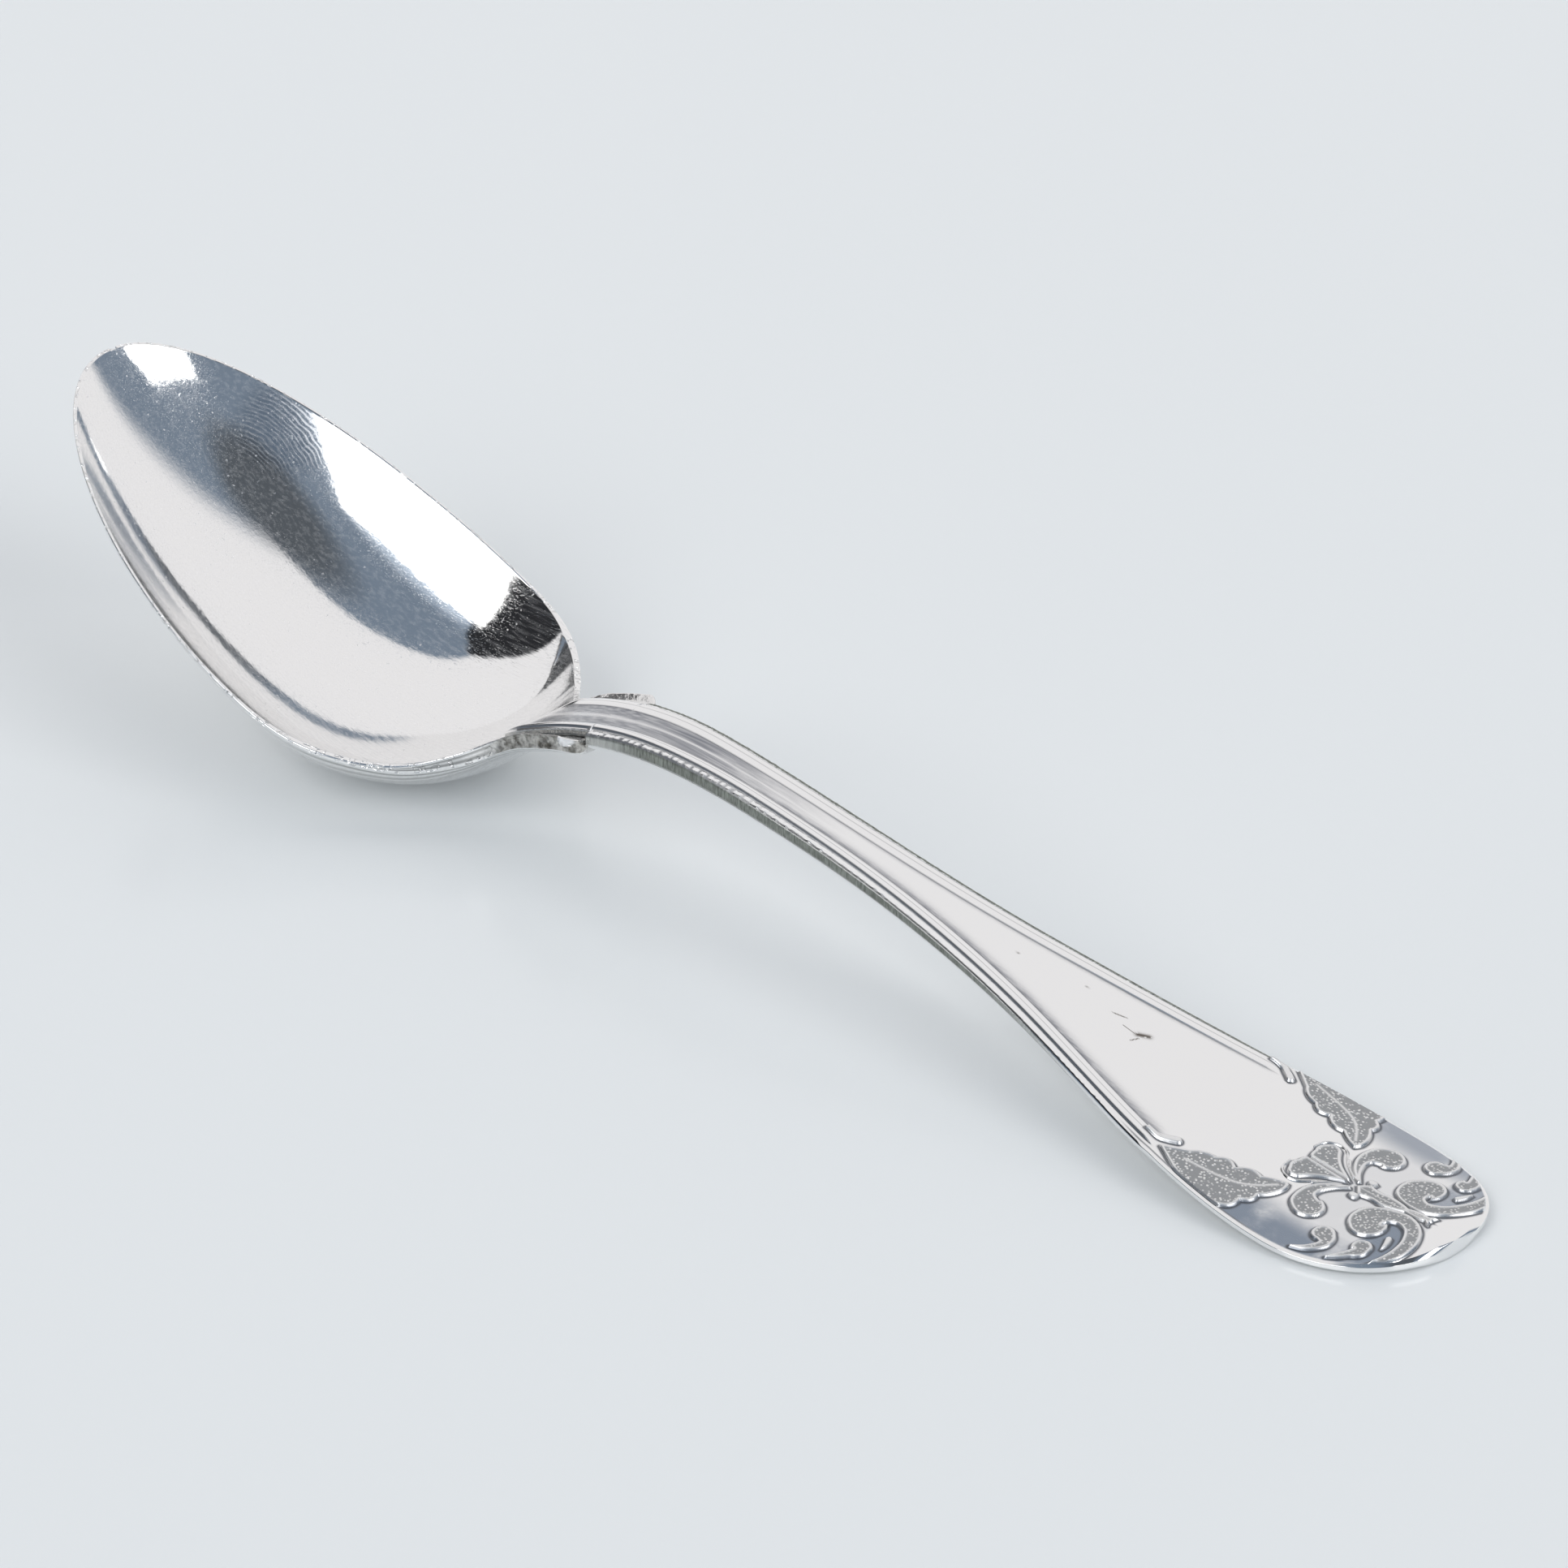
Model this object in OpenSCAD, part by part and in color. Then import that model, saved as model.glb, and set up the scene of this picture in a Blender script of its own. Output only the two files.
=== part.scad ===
// Soup spoon in silver: an egg-shaped bowl on a flat tongue with square shoulders,
// and a threaded handle that laps over the tongue and ends in a plate with leaf and scroll relief.
// The spoon lies as on a table: +X from the bowl's tip to the handle's end, +Z up.
// Stations called "s" are distances from the bowl's tip.

/* [Overall] */
// Length of the spoon as it lies, from bowl tip to handle end
overall_len = 202; // [190:1:220]

/* [Bowl] */
// Width of the bowl across the rim
bowl_w = 43.8; // [38:0.2:48]
// Distance from the tip to the widest place
bowl_widest = 43; // [38:0.5:46]
// Distance from the widest place to the narrow tongue
heel_run = 30; // [26:0.5:32]
// Height of the rim at the tip
tip_h = 33.6; // [26:0.2:36]
// Height of the rim at its low dip beside the heel
dip_h = 7.2; // [6:0.1:8]
// Distance from the tip to that dip
dip_at = 64; // [62:0.5:66]
// Distance from the tip to the place where the bowl stands on the table
keel_at = 51; // [47:0.5:52]
// Thickness of the bowl's wall at its bottom
bowl_wall = 1.1; // [0.8:0.05:1.6]
// Width of the flat lip round the rim
lip_w = 0.9; // [0.6:0.05:1.2]
// Height of the rim's outer edge
lip_edge = 0.4; // [0.3:0.05:0.8]
// Distance from the tip to the place where that edge starts to thicken towards the tongue
edge_at = 58; // [54:0.5:62]

/* [Tongue] */
// Distance from the tip to the place where the bowl has become a flat tongue
tongue_at = 68; // [67:0.25:69]
// Distance from the tip to the place where the thick heel ends under the tongue
heel_end = 72; // [71:0.25:74]
// Distance from the tip to the end of the shoulders
shoulder_at = 84; // [81:0.5:86]
// Width across the shoulders
shoulder_w = 14; // [12.6:0.1:16]
// Thickness of the tongue
tongue_t = 1.9; // [1.5:0.05:2.2]
// Radius of the shoulders' corners
shoulder_r = 2; // [1:0.1:2.2]
// Height of the shoulders' raised edges above the tongue's floor
wing_rise = 1.1; // [0.6:0.05:1.3]
// Length over which those edges rise
wing_run = 8; // [6:0.5:10]
// Gap between the lap and the foot of the raised edges
wing_gap = 0.1; // [0.05:0.05:0.3]

/* [Handle] */
// Height of the handle's lap above the tongue
lap_h = 0.95; // [0.7:0.05:1.3]
// Distance from the tip to the feathered start of the lap
lap_at = 69; // [68.5:0.25:71]
// Length over which the lap rises to its full height
lap_rise = 5; // [3:0.25:7]
// Height of the arch at its crest
crest_h = 17.2; // [15.5:0.1:19]
// Distance from the tip to the crest
crest_at = 94; // [91:0.5:98]
// Width of the handle at its narrow place
stem_w = 7.7; // [7:0.1:9]
// Distance from the tip to the narrow place
stem_at = 106; // [102:0.5:110]
// Width that the stem gains from there to the shoulders
stem_flare = 2.2; // [1.4:0.1:2.6]
// Thickness of the stem
stem_t = 2.7; // [2.2:0.05:3.2]
// Thickness of the handle's side edge on the stem
stem_edge = 1.6; // [1.2:0.05:2]
// Thickness of the solder between tongue and handle
seam_t = 0.15; // [0.1:0.01:0.2]

/* [Plate] */
// Width of the end plate
plate_w = 25.8; // [22:0.2:28]
// Distance from the plate's widest place to the handle's end
plate_end = 15; // [12:0.5:17]
// Thickness of the end plate in the middle
plate_t = 1.6; // [1.3:0.05:2]
// Fall of the plate's face from the middle to its edge
plate_crown = 0.5; // [0.3:0.05:0.6]
// Thickness of the plate's side edge
plate_edge = 0.8; // [0.5:0.05:1]
// Rise of the face from the plate's middle to the handle's end
end_lift = 0.3; // [0:0.05:0.5]

/* [Threads] */
// Width of the outer bevel beside the thread
bevel_w = 1.1; // [0.8:0.05:1.3]
// Width of that bevel on the lap, which is narrower than the stem
lap_bevel = 0.25; // [0.15:0.05:0.4]
// Width of the raised thread
thread_w = 1.25; // [1:0.05:1.5]
// Height of the thread above the plain field
thread_h = 0.3; // [0.2:0.05:0.5]
// Depth of the grooves beside the thread
groove_d = 0.25; // [0.15:0.05:0.35]
// Distance from the handle's end to the place where the threads run out
thread_stop = 31; // [28:0.5:36]
// Length over which the threads run out
thread_fade = 4; // [2:0.5:6]

/* [Relief] */
// Distance from the handle's end to the hub of the scrollwork
hub_from_end = 12.75; // [12:0.25:16]
// Half width that the relief spreads over, as a share of the plate's half width
relief_spread = 0.93; // [0.8:0.01:0.95]
// Height of the relief above the plate
relief_h = 0.35; // [0.2:0.05:0.6]
// Gap that keeps the relief clear of the plate's facets
relief_gap = 0.01; // [0.01:0.01:0.05]

/* [Hidden] */
silver = [0.86, 0.86, 0.85];
solder = [0.76, 0.76, 0.74];
matted = [0.62, 0.64, 0.66];

// Powers that shape the outlines: 2 gives an ellipse
tip_power = 1.9;
heel_power = 1.74;
rim_power = 1.3;
keel_start_power = 0.95;
keel_power = 1.79;
wall_power = 2.65;
heel_floor_power = 3;
heel_keel_power = 2.8;
arch_power = 0.62;
flare_power = 1.6;
spread_power = 1.5;
end_power = 2.2;
end_fullness = 0.4;

half_bowl = bowl_w / 2;
half_tongue = shoulder_w / 2;
half_stem = stem_w / 2;
half_plate = plate_w / 2;
plate_at = overall_len - plate_end;

// Counts and steps of the facets
ring_step = 2.4;
tip_rings = 20;
corner_rings = 5;
end_rings = 12;
bowl_facets = 22;
// Rings stop this far short of an outline that closes to a point
end_gap = 0.02;
slope_step = 0.01;

function clamp01(t) = min(max(t, 0), 1);
function ease(t) = let (c = clamp01(t)) c * c * (3 - 2 * c);
function mix(a, b, t) = a + (b - a) * t;
// Stations after a up to b, close to the wanted step
function stations(a, b, step) = let (n = ceil((b - a) / step)) [for (i = [1:n]) mix(a, b, i / n)];
// Stations from a to b that crowd towards a, for a round start
function round_start(a, b, n) = [for (i = [0:n]) mix(b, a, cos(90 * i / n))];
// Stations after a up to b that crowd towards b, for a round end
function round_end(a, b, n) = [for (i = [1:n]) mix(a, b, sin(90 * i / n))];

// Smooth curve through [place, height] knots, level at both ends
function knot_slope(k, i) = i == 0 || i == len(k) - 1 ? 0
  : (k[i + 1][1] - k[i - 1][1]) / (k[i + 1][0] - k[i - 1][0]);
function knot_span(k, x, i = 0) = i >= len(k) - 2 || x < k[i + 1][0] ? i : knot_span(k, x, i + 1);
function curve_through(k, x) =
  let (i = knot_span(k, x), run = k[i + 1][0] - k[i][0], t = clamp01((x - k[i][0]) / run))
  k[i][1] * (1 + 2 * t) * (1 - t) * (1 - t) + knot_slope(k, i) * run * t * (1 - t) * (1 - t)
  + k[i + 1][1] * t * t * (3 - 2 * t) + knot_slope(k, i + 1) * run * t * t * (t - 1);

// Solid between rings that each hold as many points on top, left to right, as below, right to left.
// The middle of the spoon's length comes to the origin.
module loft(rings) {
  n = len(rings[0]);
  half = n / 2;
  last = (len(rings) - 1) * n;
  sides = [for (i = [0:len(rings) - 2], j = [0:n - 1])
    let (a = i * n + j, b = i * n + (j + 1) % n) each [[a, b, a + n], [b, b + n, a + n]]];
  start_cap = [for (j = [0:half - 2]) each [[j, n - 1 - j, j + 1], [j + 1, n - 1 - j, n - 2 - j]]];
  end_cap = [for (f = start_cap) [f[0] + last, f[2] + last, f[1] + last]];
  translate([-overall_len / 2, 0, 0])
    polyhedron(points = [for (r = rings) each r], faces = concat(sides, start_cap, end_cap), convexity = 6);
}

// Height of the line that the rim's dip, the tongue and the arch follow up to the crest
function arch_line(s) = let (t = clamp01((s - dip_at) / (crest_at - dip_at)))
  mix(dip_h, crest_h - lap_h, ease(pow(t, arch_power)));
function rim_line(s) = s < dip_at
  ? mix(dip_h, tip_h, pow((dip_at - s) / dip_at, rim_power)) : arch_line(s);

// Half width of the bowl's egg outline, moved in by "inset" for the lip's inner edge
function egg_half(s, inset) = s < bowl_widest
  ? (half_bowl - inset) * sqrt(1 - pow(clamp01((bowl_widest - s) / (bowl_widest - inset)), tip_power))
  : mix(half_tongue, half_bowl, (1 + cos(180 * pow(clamp01((s - bowl_widest) / heel_run), heel_power))) / 2)
    - inset;
function shoulder_corner(s) = let (d = max(0, s - shoulder_at + shoulder_r))
  shoulder_r - sqrt(max(0, shoulder_r * shoulder_r - d * d));

// Height of the bowl's bottom line, from its tip down to "low" and up to the place "end" on the tongue
function keel(s, from, top, low, end, joined, power) = s < keel_at
  ? mix(low, top, pow(1 - pow(clamp01((s - from) / (keel_at - from)), keel_start_power), keel_power))
  : s < end ? mix(low, joined, pow((s - keel_at) / (end - keel_at), power))
  : joined + arch_line(s) - arch_line(end);
function outer_keel(s) = keel(s, 0, tip_h, 0, heel_end, arch_line(heel_end) - tongue_t, heel_keel_power);
function inner_keel(s) =
  keel(s, lip_w, rim_line(lip_w), bowl_wall, tongue_at, arch_line(tongue_at), heel_floor_power);
function rim_edge(s) = mix(lip_edge, tongue_t, ease((s - edge_at) / (heel_end - edge_at)));

// Rise of the shoulders' edges, which starts beside the lap
wing_from = half_stem + stem_flare / 2 - bevel_w + lap_bevel + wing_gap;
function wing(s, y) = wing_rise * ease((s - tongue_at) / wing_run)
  * pow(clamp01((abs(y) - wing_from) / (half_tongue - wing_from)), 2);

// One ring of the bowl: the lip's edge, the inside, the lip's other edge and the outside.
// Before the widest place the inside runs a lip's width behind the outside.
function bowl_ring(s) =
  let (
    si = s < bowl_widest ? mix(lip_w, bowl_widest, s / bowl_widest) : s,
    wi = max(egg_half(si, lip_w), lip_w / 3) - shoulder_corner(s),
    w = egg_half(s, 0) - shoulder_corner(s),
    side = [for (j = [0:bowl_facets]) 2 * j / bowl_facets - 1],
    inner = [for (v = side)
      [si, v * wi, mix(inner_keel(si), rim_line(si), pow(abs(v), wall_power)) + wing(si, v * wi)]],
    n = bowl_facets + 2,
    outer = [for (j = [n:-1:0]) let (v = 2 * j / n - 1)
      [s, v * w, mix(outer_keel(s), rim_line(s) - rim_edge(s), pow(abs(v), wall_power)) + wing(s, v * w)]],
    rim = rim_line(s) + wing(s, w)
  )
  concat([[s, -w, rim]], inner, [[s, w, rim]], outer);

bowl_stations = concat(round_start(end_gap, bowl_widest, tip_rings),
  stations(bowl_widest, tongue_at, ring_step),
  stations(tongue_at, heel_end, ring_step),
  stations(heel_end, shoulder_at - shoulder_r, ring_step),
  round_end(shoulder_at - shoulder_r, shoulder_at - end_gap, corner_rings));

module bowl() {
  color(silver) loft([for (s = bowl_stations) bowl_ring(s)]);
}

// Half width of the handle. The lap has a round nose, and it is narrower by most of the bevel.
nose_lead = lap_rise / 16;
function flare_half(s) = half_stem
  + stem_flare / 2 * pow(max(0, stem_at - s) / (stem_at - shoulder_at), flare_power);
function handle_half(s) = s < stem_at ? flare_half(s)
  : s < plate_at
  ? mix(half_stem, half_plate, (1 - cos(180 * pow((s - stem_at) / (plate_at - stem_at), spread_power))) / 2)
  : half_plate * pow(1 - pow(clamp01((s - plate_at) / plate_end), end_power), end_fullness);
function lap_half(s) = (flare_half(s) - bevel_w + lap_bevel)
  * sqrt(1 - pow(1 - clamp01((s - lap_at + nose_lead) / lap_rise), 2));
function plan_half(s) = s > shoulder_at ? handle_half(s) : lap_half(s);

// Middle line of the handle's top behind the crest, as shares of the run and of the drop to the plate
back_knots = [[0, 1], [0.235, 0.859], [0.56, 0.513], [0.815, 0.187], [1.03, 0]];
back_line = concat([for (k = back_knots) [mix(crest_at, plate_at, k[0]), mix(plate_t, crest_h, k[1])]],
  [[overall_len, plate_t + end_lift]]);
function handle_top(s) = s > crest_at ? curve_through(back_line, s)
  : arch_line(s) + seam_t + (lap_h - seam_t) * ease((s - lap_at + 2 * nose_lead) / lap_rise);

// The plate is thick enough at its end for a flat underside on the table
thin_share = 0.89;
thickness_line = [[shoulder_at, stem_t], [stem_at, stem_t], [mix(stem_at, plate_at, thin_share), plate_t],
  [plate_at, plate_t + end_lift]];
edge_share = 0.6;
edge_line = [[shoulder_at, stem_edge], [stem_at, stem_edge], [mix(stem_at, plate_at, edge_share), plate_edge],
  [plate_at, plate_edge]];
function handle_bottom(s) = max(0, handle_top(s) - curve_through(thickness_line, s));

// The threads rise behind the lap's nose and run out before the plate's relief
function thread_share(s) = ease((s - lap_at) / lap_rise)
  * (1 - ease((s - overall_len + thread_stop + thread_fade) / thread_fade));
function crown(s, y) = plate_crown * ease((s - stem_at) / (plate_at - stem_at)) * pow(y / plan_half(s), 2);
function face_height(s, y) = handle_top(s) - crown(s, y);

// Section of the top as [distance from the middle, rise above the face], from the middle to the edge.
// On a narrow nose the bevel and the thread keep their share of the half width.
bevel_share = 0.28;
thread_half_share = 0.32;
groove_slope_share = 0.26;
thread_round_share = 0.8;
bevel_rise_share = 0.3;
function half_section(w, bevel, share) =
  let (
    t = min(thread_w, w * thread_half_share),
    outer_groove = w - min(bevel, w * bevel_share),
    inner_groove = outer_groove - t,
    slope = t * groove_slope_share,
    low = -groove_d * share,
    high = thread_h * share
  )
  [[0, 0], [inner_groove / 2, 0], [inner_groove - slope, 0], [inner_groove, low],
   [inner_groove + slope, high * thread_round_share], [inner_groove + t / 2, high],
   [outer_groove - slope, high * thread_round_share], [outer_groove, low],
   [mix(outer_groove, w, bevel_rise_share), high * bevel_rise_share], [w, low]];

// The underside is flat in the middle and curves up to the side edges
flat_share = 0.55;
function top_points(s) =
  let (bevel = s > shoulder_at ? bevel_w : lap_bevel,
    half = half_section(plan_half(s), bevel, thread_share(s)), n = len(half) - 1)
  [for (j = [-n:n]) let (p = half[abs(j)], y = sign(j) * p[0]) [s, y, face_height(s, y) + p[1]]];
function under_points(s, top) =
  let (w = plan_half(s), low = handle_bottom(s), n = len(top) - 1,
    edge = max(low, top[0][2] - curve_through(edge_line, s)))
  [for (j = [n:-1:0]) let (y = top[j][1], t = max(0, (abs(y) / w - flat_share) / (1 - flat_share)))
    [s, y, mix(low, edge, t * t)]];
function lap_points(s, top) = let (n = len(top) - 1)
  [for (j = [n:-1:0]) [s, top[j][1], arch_line(s) + seam_t]];
function lap_ring(s) = let (top = top_points(s)) concat(top, lap_points(s, top));
// The step at the tongue's end: the top goes on a little before the underside drops
step_run = 0.2;
function step_ring(s) = let (top = top_points(s + step_run), low = under_points(s + step_run, top))
  concat(top, [for (p = low) [s, p[1], p[2]]]);
function handle_ring(s) = let (top = top_points(s)) concat(top, under_points(s, top));

lap_stations = concat([lap_at], [for (s = bowl_stations) if (s > lap_at && s < shoulder_at - 4 * end_gap) s]);
back_stations = concat(stations(shoulder_at, plate_at, ring_step),
  round_end(plate_at, overall_len - end_gap, end_rings));

module handle() {
  color(silver) loft(concat([for (s = concat(lap_stations, [shoulder_at])) lap_ring(s)],
    [step_ring(shoulder_at)], [for (s = back_stations) handle_ring(s)]));
}

// Solder that fills the lap between the tongue and the handle
module solder_seam() {
  function seam_ring(s) = let (w = plan_half(s))
    [for (p = [[-w, seam_t], [w, seam_t], [w, 0], [-w, 0]]) [s, p[0], arch_line(s) + p[1]]];
  color(solder) loft([for (s = concat(lap_stations, [shoulder_at - end_gap])) seam_ring(s)]);
}

// Relief: ribbons seated on the plate. Their paths count from the hub towards the handle's end
// and out to the side, in units of the relief's half width.
relief_unit = half_plate * relief_spread;
hub_at = overall_len - hub_from_end;
function relief_place(p, side) = [hub_at + p[0] * relief_unit, side * p[1] * relief_unit];

// Smooth path through a few points
function path_slope(p, i) = i == 0 ? p[1] - p[0]
  : i == len(p) - 1 ? p[i] - p[i - 1] : (p[i + 1] - p[i - 1]) / 2;
function path_at(p, t) = let (i = min(floor(t), len(p) - 2), u = t - i)
  p[i] * (1 + 2 * u) * (1 - u) * (1 - u) + path_slope(p, i) * u * (1 - u) * (1 - u)
  + p[i + 1] * u * u * (3 - 2 * u) + path_slope(p, i + 1) * u * u * (u - 1);
function across(p, t) =
  let (d = path_at(p, min(t + slope_step, len(p) - 1)) - path_at(p, max(t - slope_step, 0)))
  [-d[1], d[0]] / norm(d);

// A ribbon's widths to the left and right of its path are smooth curves through
// [share of its length, width] knots
ribbon_edge_share = 0.7;
module ribbon(path, lefts, rights, side, steps) {
  function on_plate(q, up) = [q[0], q[1], face_height(q[0], q[1]) + relief_gap + up];
  function ring(k) =
    let (t = k / steps * (len(path) - 1), c = path_at(path, t), n = across(path, t),
      mid = relief_place(c, side),
      to_left = relief_place(c + n * curve_through(lefts, k / steps), side),
      to_right = relief_place(c - n * curve_through(rights, k / steps), side),
      left = side > 0 ? to_right : to_left, right = side > 0 ? to_left : to_right)
    [on_plate(left, relief_h * ribbon_edge_share), on_plate(mid, relief_h),
     on_plate(right, relief_h * ribbon_edge_share),
     on_plate(right, 0), on_plate(mid, 0), on_plate(left, 0)];
  loft([for (k = [steps:-1:0]) ring(k)]);
}

// Half width at a ribbon's point
point_share = 0.012;
volute_path = [[-0.10, 0.10], [-0.26, 0.20], [-0.30, 0.38], [-0.20, 0.53], [-0.04, 0.54], [0.03, 0.43],
  [-0.05, 0.37]];
volute_widths = [[0, 0.02], [0.3, 0.05], [0.62, 0.085], [0.9, 0.06], [1, point_share]];
scroll_path = [[0.76, 0.76], [0.86, 0.56], [0.80, 0.34], [0.63, 0.19], [0.42, 0.15], [0.29, 0.25],
  [0.29, 0.42], [0.43, 0.48], [0.50, 0.38]];
scroll_widths = [[0, point_share], [0.2, 0.05], [0.5, 0.085], [0.8, 0.075], [0.93, 0.06], [1, point_share]];
leaf_path = [[-1.30, 0.88], [-1.04, 0.88], [-0.80, 0.83], [-0.56, 0.69], [-0.38, 0.47]];
// The leaf is widest on its outer side, near the tip, and both sides have one tooth for each lobe
leaf_outer = [[0, point_share], [0.25, 0.07], [0.5, 0.17], [0.75, 0.26], [0.9, 0.14], [1, point_share]];
leaf_inner = [[0, point_share], [0.25, 0.13], [0.5, 0.15], [0.75, 0.11], [1, point_share]];
leaf_lobes = 4;
tooth_share = 0.14;
function toothed(widths) = [for (k = [0:leaf_lobes * 2]) let (t = k / (leaf_lobes * 2))
  [t, curve_through(widths, t) * (k % 2 == 1 ? 1 + tooth_share : 1 - tooth_share)]];
palmette_path = [[-0.12, 0], [-0.34, 0], [-0.56, 0]];
palmette_widths = [[0, 0.03], [0.35, 0.10], [0.75, 0.28], [0.92, 0.25], [1, 0.12]];
bud_path = [[0.12, 0], [0.45, 0], [0.80, 0]];
bud_widths = [[0, 0.05], [0.3, 0.04], [0.7, 0.05], [1, point_share]];
curl_path = [[-1.50, 0.81], [-1.38, 0.81], [-1.29, 0.77], [-1.27, 0.70]];
curl_widths = [[0, 0.03], [0.5, 0.045], [0.85, 0.05], [1, point_share]];
tendril_paths = [[[0.16, 0.84], [0.24, 0.72], [0.36, 0.70], [0.40, 0.79], [0.33, 0.82]],
  [[0.48, 0.82], [0.52, 0.70], [0.62, 0.64], [0.68, 0.71], [0.62, 0.75]],
  [[0.56, 0.53], [0.66, 0.48], [0.71, 0.40]]];
tendril_widths = [[0, point_share], [0.5, 0.045], [0.85, 0.04], [1, point_share]];
bead_path = [[-0.03, 0.10], [0.03, 0.10], [0.09, 0.10]];
bead_widths = [[0, point_share], [0.5, 0.05], [1, point_share]];

module handle_relief() {
  color(matted) ribbon(palmette_path, palmette_widths, palmette_widths, 1, 16);
  color(matted) ribbon(bud_path, bud_widths, bud_widths, 1, 16);
  color(matted) for (side = [-1, 1]) {
    ribbon(leaf_path, toothed(leaf_outer), toothed(leaf_inner), side, 48);
    ribbon(curl_path, curl_widths, curl_widths, side, 12);
    ribbon(volute_path, volute_widths, volute_widths, side, 30);
    ribbon(scroll_path, scroll_widths, scroll_widths, side, 40);
    ribbon(bead_path, bead_widths, bead_widths, side, 8);
    for (path = tendril_paths) ribbon(path, tendril_widths, tendril_widths, side, 14);
  }
}

bowl();
solder_seam();
handle();
handle_relief();
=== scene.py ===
# %% [markdown]
# # A silver soup spoon, cell by cell
#
# The spoon has two main pieces: a bowl raised from sheet silver, whose heel runs out into a flat
# tongue, and an arched handle that laps over that tongue and is soldered to it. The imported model
# fixes where every piece is and how large, so the lesson starts by loading it and keeping its box.
# Everything after that is about looks: smooth skins that follow the same curves, a struck relief, and
# polished metal.

import bpy
import numpy as np
from mathutils import Matrix, Vector


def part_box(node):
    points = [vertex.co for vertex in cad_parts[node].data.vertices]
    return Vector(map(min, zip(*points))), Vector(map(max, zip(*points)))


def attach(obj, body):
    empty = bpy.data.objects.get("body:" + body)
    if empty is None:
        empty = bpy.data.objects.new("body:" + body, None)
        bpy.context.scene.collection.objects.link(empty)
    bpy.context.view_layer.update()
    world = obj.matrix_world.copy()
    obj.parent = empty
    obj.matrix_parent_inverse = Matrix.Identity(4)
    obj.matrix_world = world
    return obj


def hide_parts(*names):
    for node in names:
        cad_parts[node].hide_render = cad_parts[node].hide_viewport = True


MM = 0.001
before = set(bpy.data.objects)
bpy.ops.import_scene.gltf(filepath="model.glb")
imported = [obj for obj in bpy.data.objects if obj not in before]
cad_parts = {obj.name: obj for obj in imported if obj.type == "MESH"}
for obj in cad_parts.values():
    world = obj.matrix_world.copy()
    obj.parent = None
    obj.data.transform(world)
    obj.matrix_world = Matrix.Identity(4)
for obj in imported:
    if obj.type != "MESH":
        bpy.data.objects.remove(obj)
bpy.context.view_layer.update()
bowl_low, bowl_high = (np.array(corner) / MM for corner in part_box("bowl"))
handle_high = np.array(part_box("handle")[1]) / MM

# %% [markdown]
# ## The camera
#
# The camera comes first, because every later choice is judged through it. A long lens from a little
# above keeps the spoon's sides nearly parallel. The angle, the distance and the lens were found by
# laying the bowl's rim over the photograph, and they are written here as plain values.

# %% Camera
camera_azimuth = np.radians(44.51)
camera_elevation = np.radians(27.95)
camera_roll = np.radians(0.28)
camera_distance = 686.7
camera_target = np.array([-14.5, 23.4, 0.0])
sensor_mm = 36.0
picture_px = 1932
focal_px = 7553.8

ahead = np.array([-np.sin(camera_azimuth) * np.cos(camera_elevation),
                  np.cos(camera_azimuth) * np.cos(camera_elevation), -np.sin(camera_elevation)])
level = np.array([np.cos(camera_azimuth), np.sin(camera_azimuth), 0.0])
above = np.cross(level, ahead)
right = level * np.cos(camera_roll) + above * np.sin(camera_roll)
up = above * np.cos(camera_roll) - level * np.sin(camera_roll)
turn = Matrix([[right[i], up[i], -ahead[i]] for i in range(3)]).to_4x4()

lens = bpy.data.cameras.new("camera")
lens.lens = focal_px / picture_px * sensor_mm
lens.sensor_width = sensor_mm
lens.clip_start = 0.01
camera = bpy.data.objects.new("camera", lens)
camera.matrix_world = Matrix.Translation(Vector((camera_target - ahead * camera_distance) * MM)) @ turn
bpy.context.scene.collection.objects.link(camera)
bpy.context.scene.camera = camera
print("lens", round(lens.lens, 1), "mm, camera at", [round(v, 3) for v in camera.location])

# %% [markdown]
# ## Sizes
#
# The skins repeat the model's own curves, so they need its driving sizes, in millimetres. What the
# frame can tell is read from it. A station, called s, is the distance from the bowl's tip along the
# spoon, and the spoon's middle lies at the origin. In the names, _at is a station, _h a height, _w a
# width, _t a thickness and _r a radius. A _span is the place where a change starts and its run.

# %% Driving sizes
overall_len = round(float(handle_high[0] - bowl_low[0]), 1)
half_bowl = float(bowl_high[1])
tip_h = round(float(bowl_high[2]), 1)
shoulder_at = round(float(bowl_high[0]) + overall_len / 2, 1)
half_plate = round(float(handle_high[1]), 2)
bowl_widest, heel_run = 43.0, 30.0
dip_h, dip_at, keel_at = 7.2, 64.0, 51.0
bowl_wall, lip_w, heel_lip_w, lip_edge, edge_at = 1.1, 0.4, 0.9, 0.4, 58.0
tongue_at, heel_end, half_tongue, tongue_t, shoulder_r = 68.0, 72.0, 7.0, 1.9, 2.0
wing_rise, wing_run, wing_gap = 1.1, 8.0, 0.1
lap_h, lap_at, lap_rise = 0.95, 69.0, 5.0
crest_h, crest_at = 17.2, 94.0
half_stem, stem_at, stem_flare, stem_t, stem_edge = 3.85, 106.0, 2.2, 2.7, 1.6
seam_t = 0.15
plate_end, plate_t, plate_crown, plate_edge, end_lift = 15.0, 1.6, 0.5, 0.8, 0.3
bevel_w, lap_bevel, thread_w, thread_h = 1.1, 0.25, 1.25, 0.3
thread_stop, thread_fade, hollow_fade = 30.2, 2.0, 16.0
hub_from_end, relief_h = 12.75, 0.35
plate_at = overall_len - plate_end
hub_at = overall_len - hub_from_end
print("spoon", overall_len, "mm long, bowl", 2 * half_bowl, "mm wide, tip", tip_h, "mm high")

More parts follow.
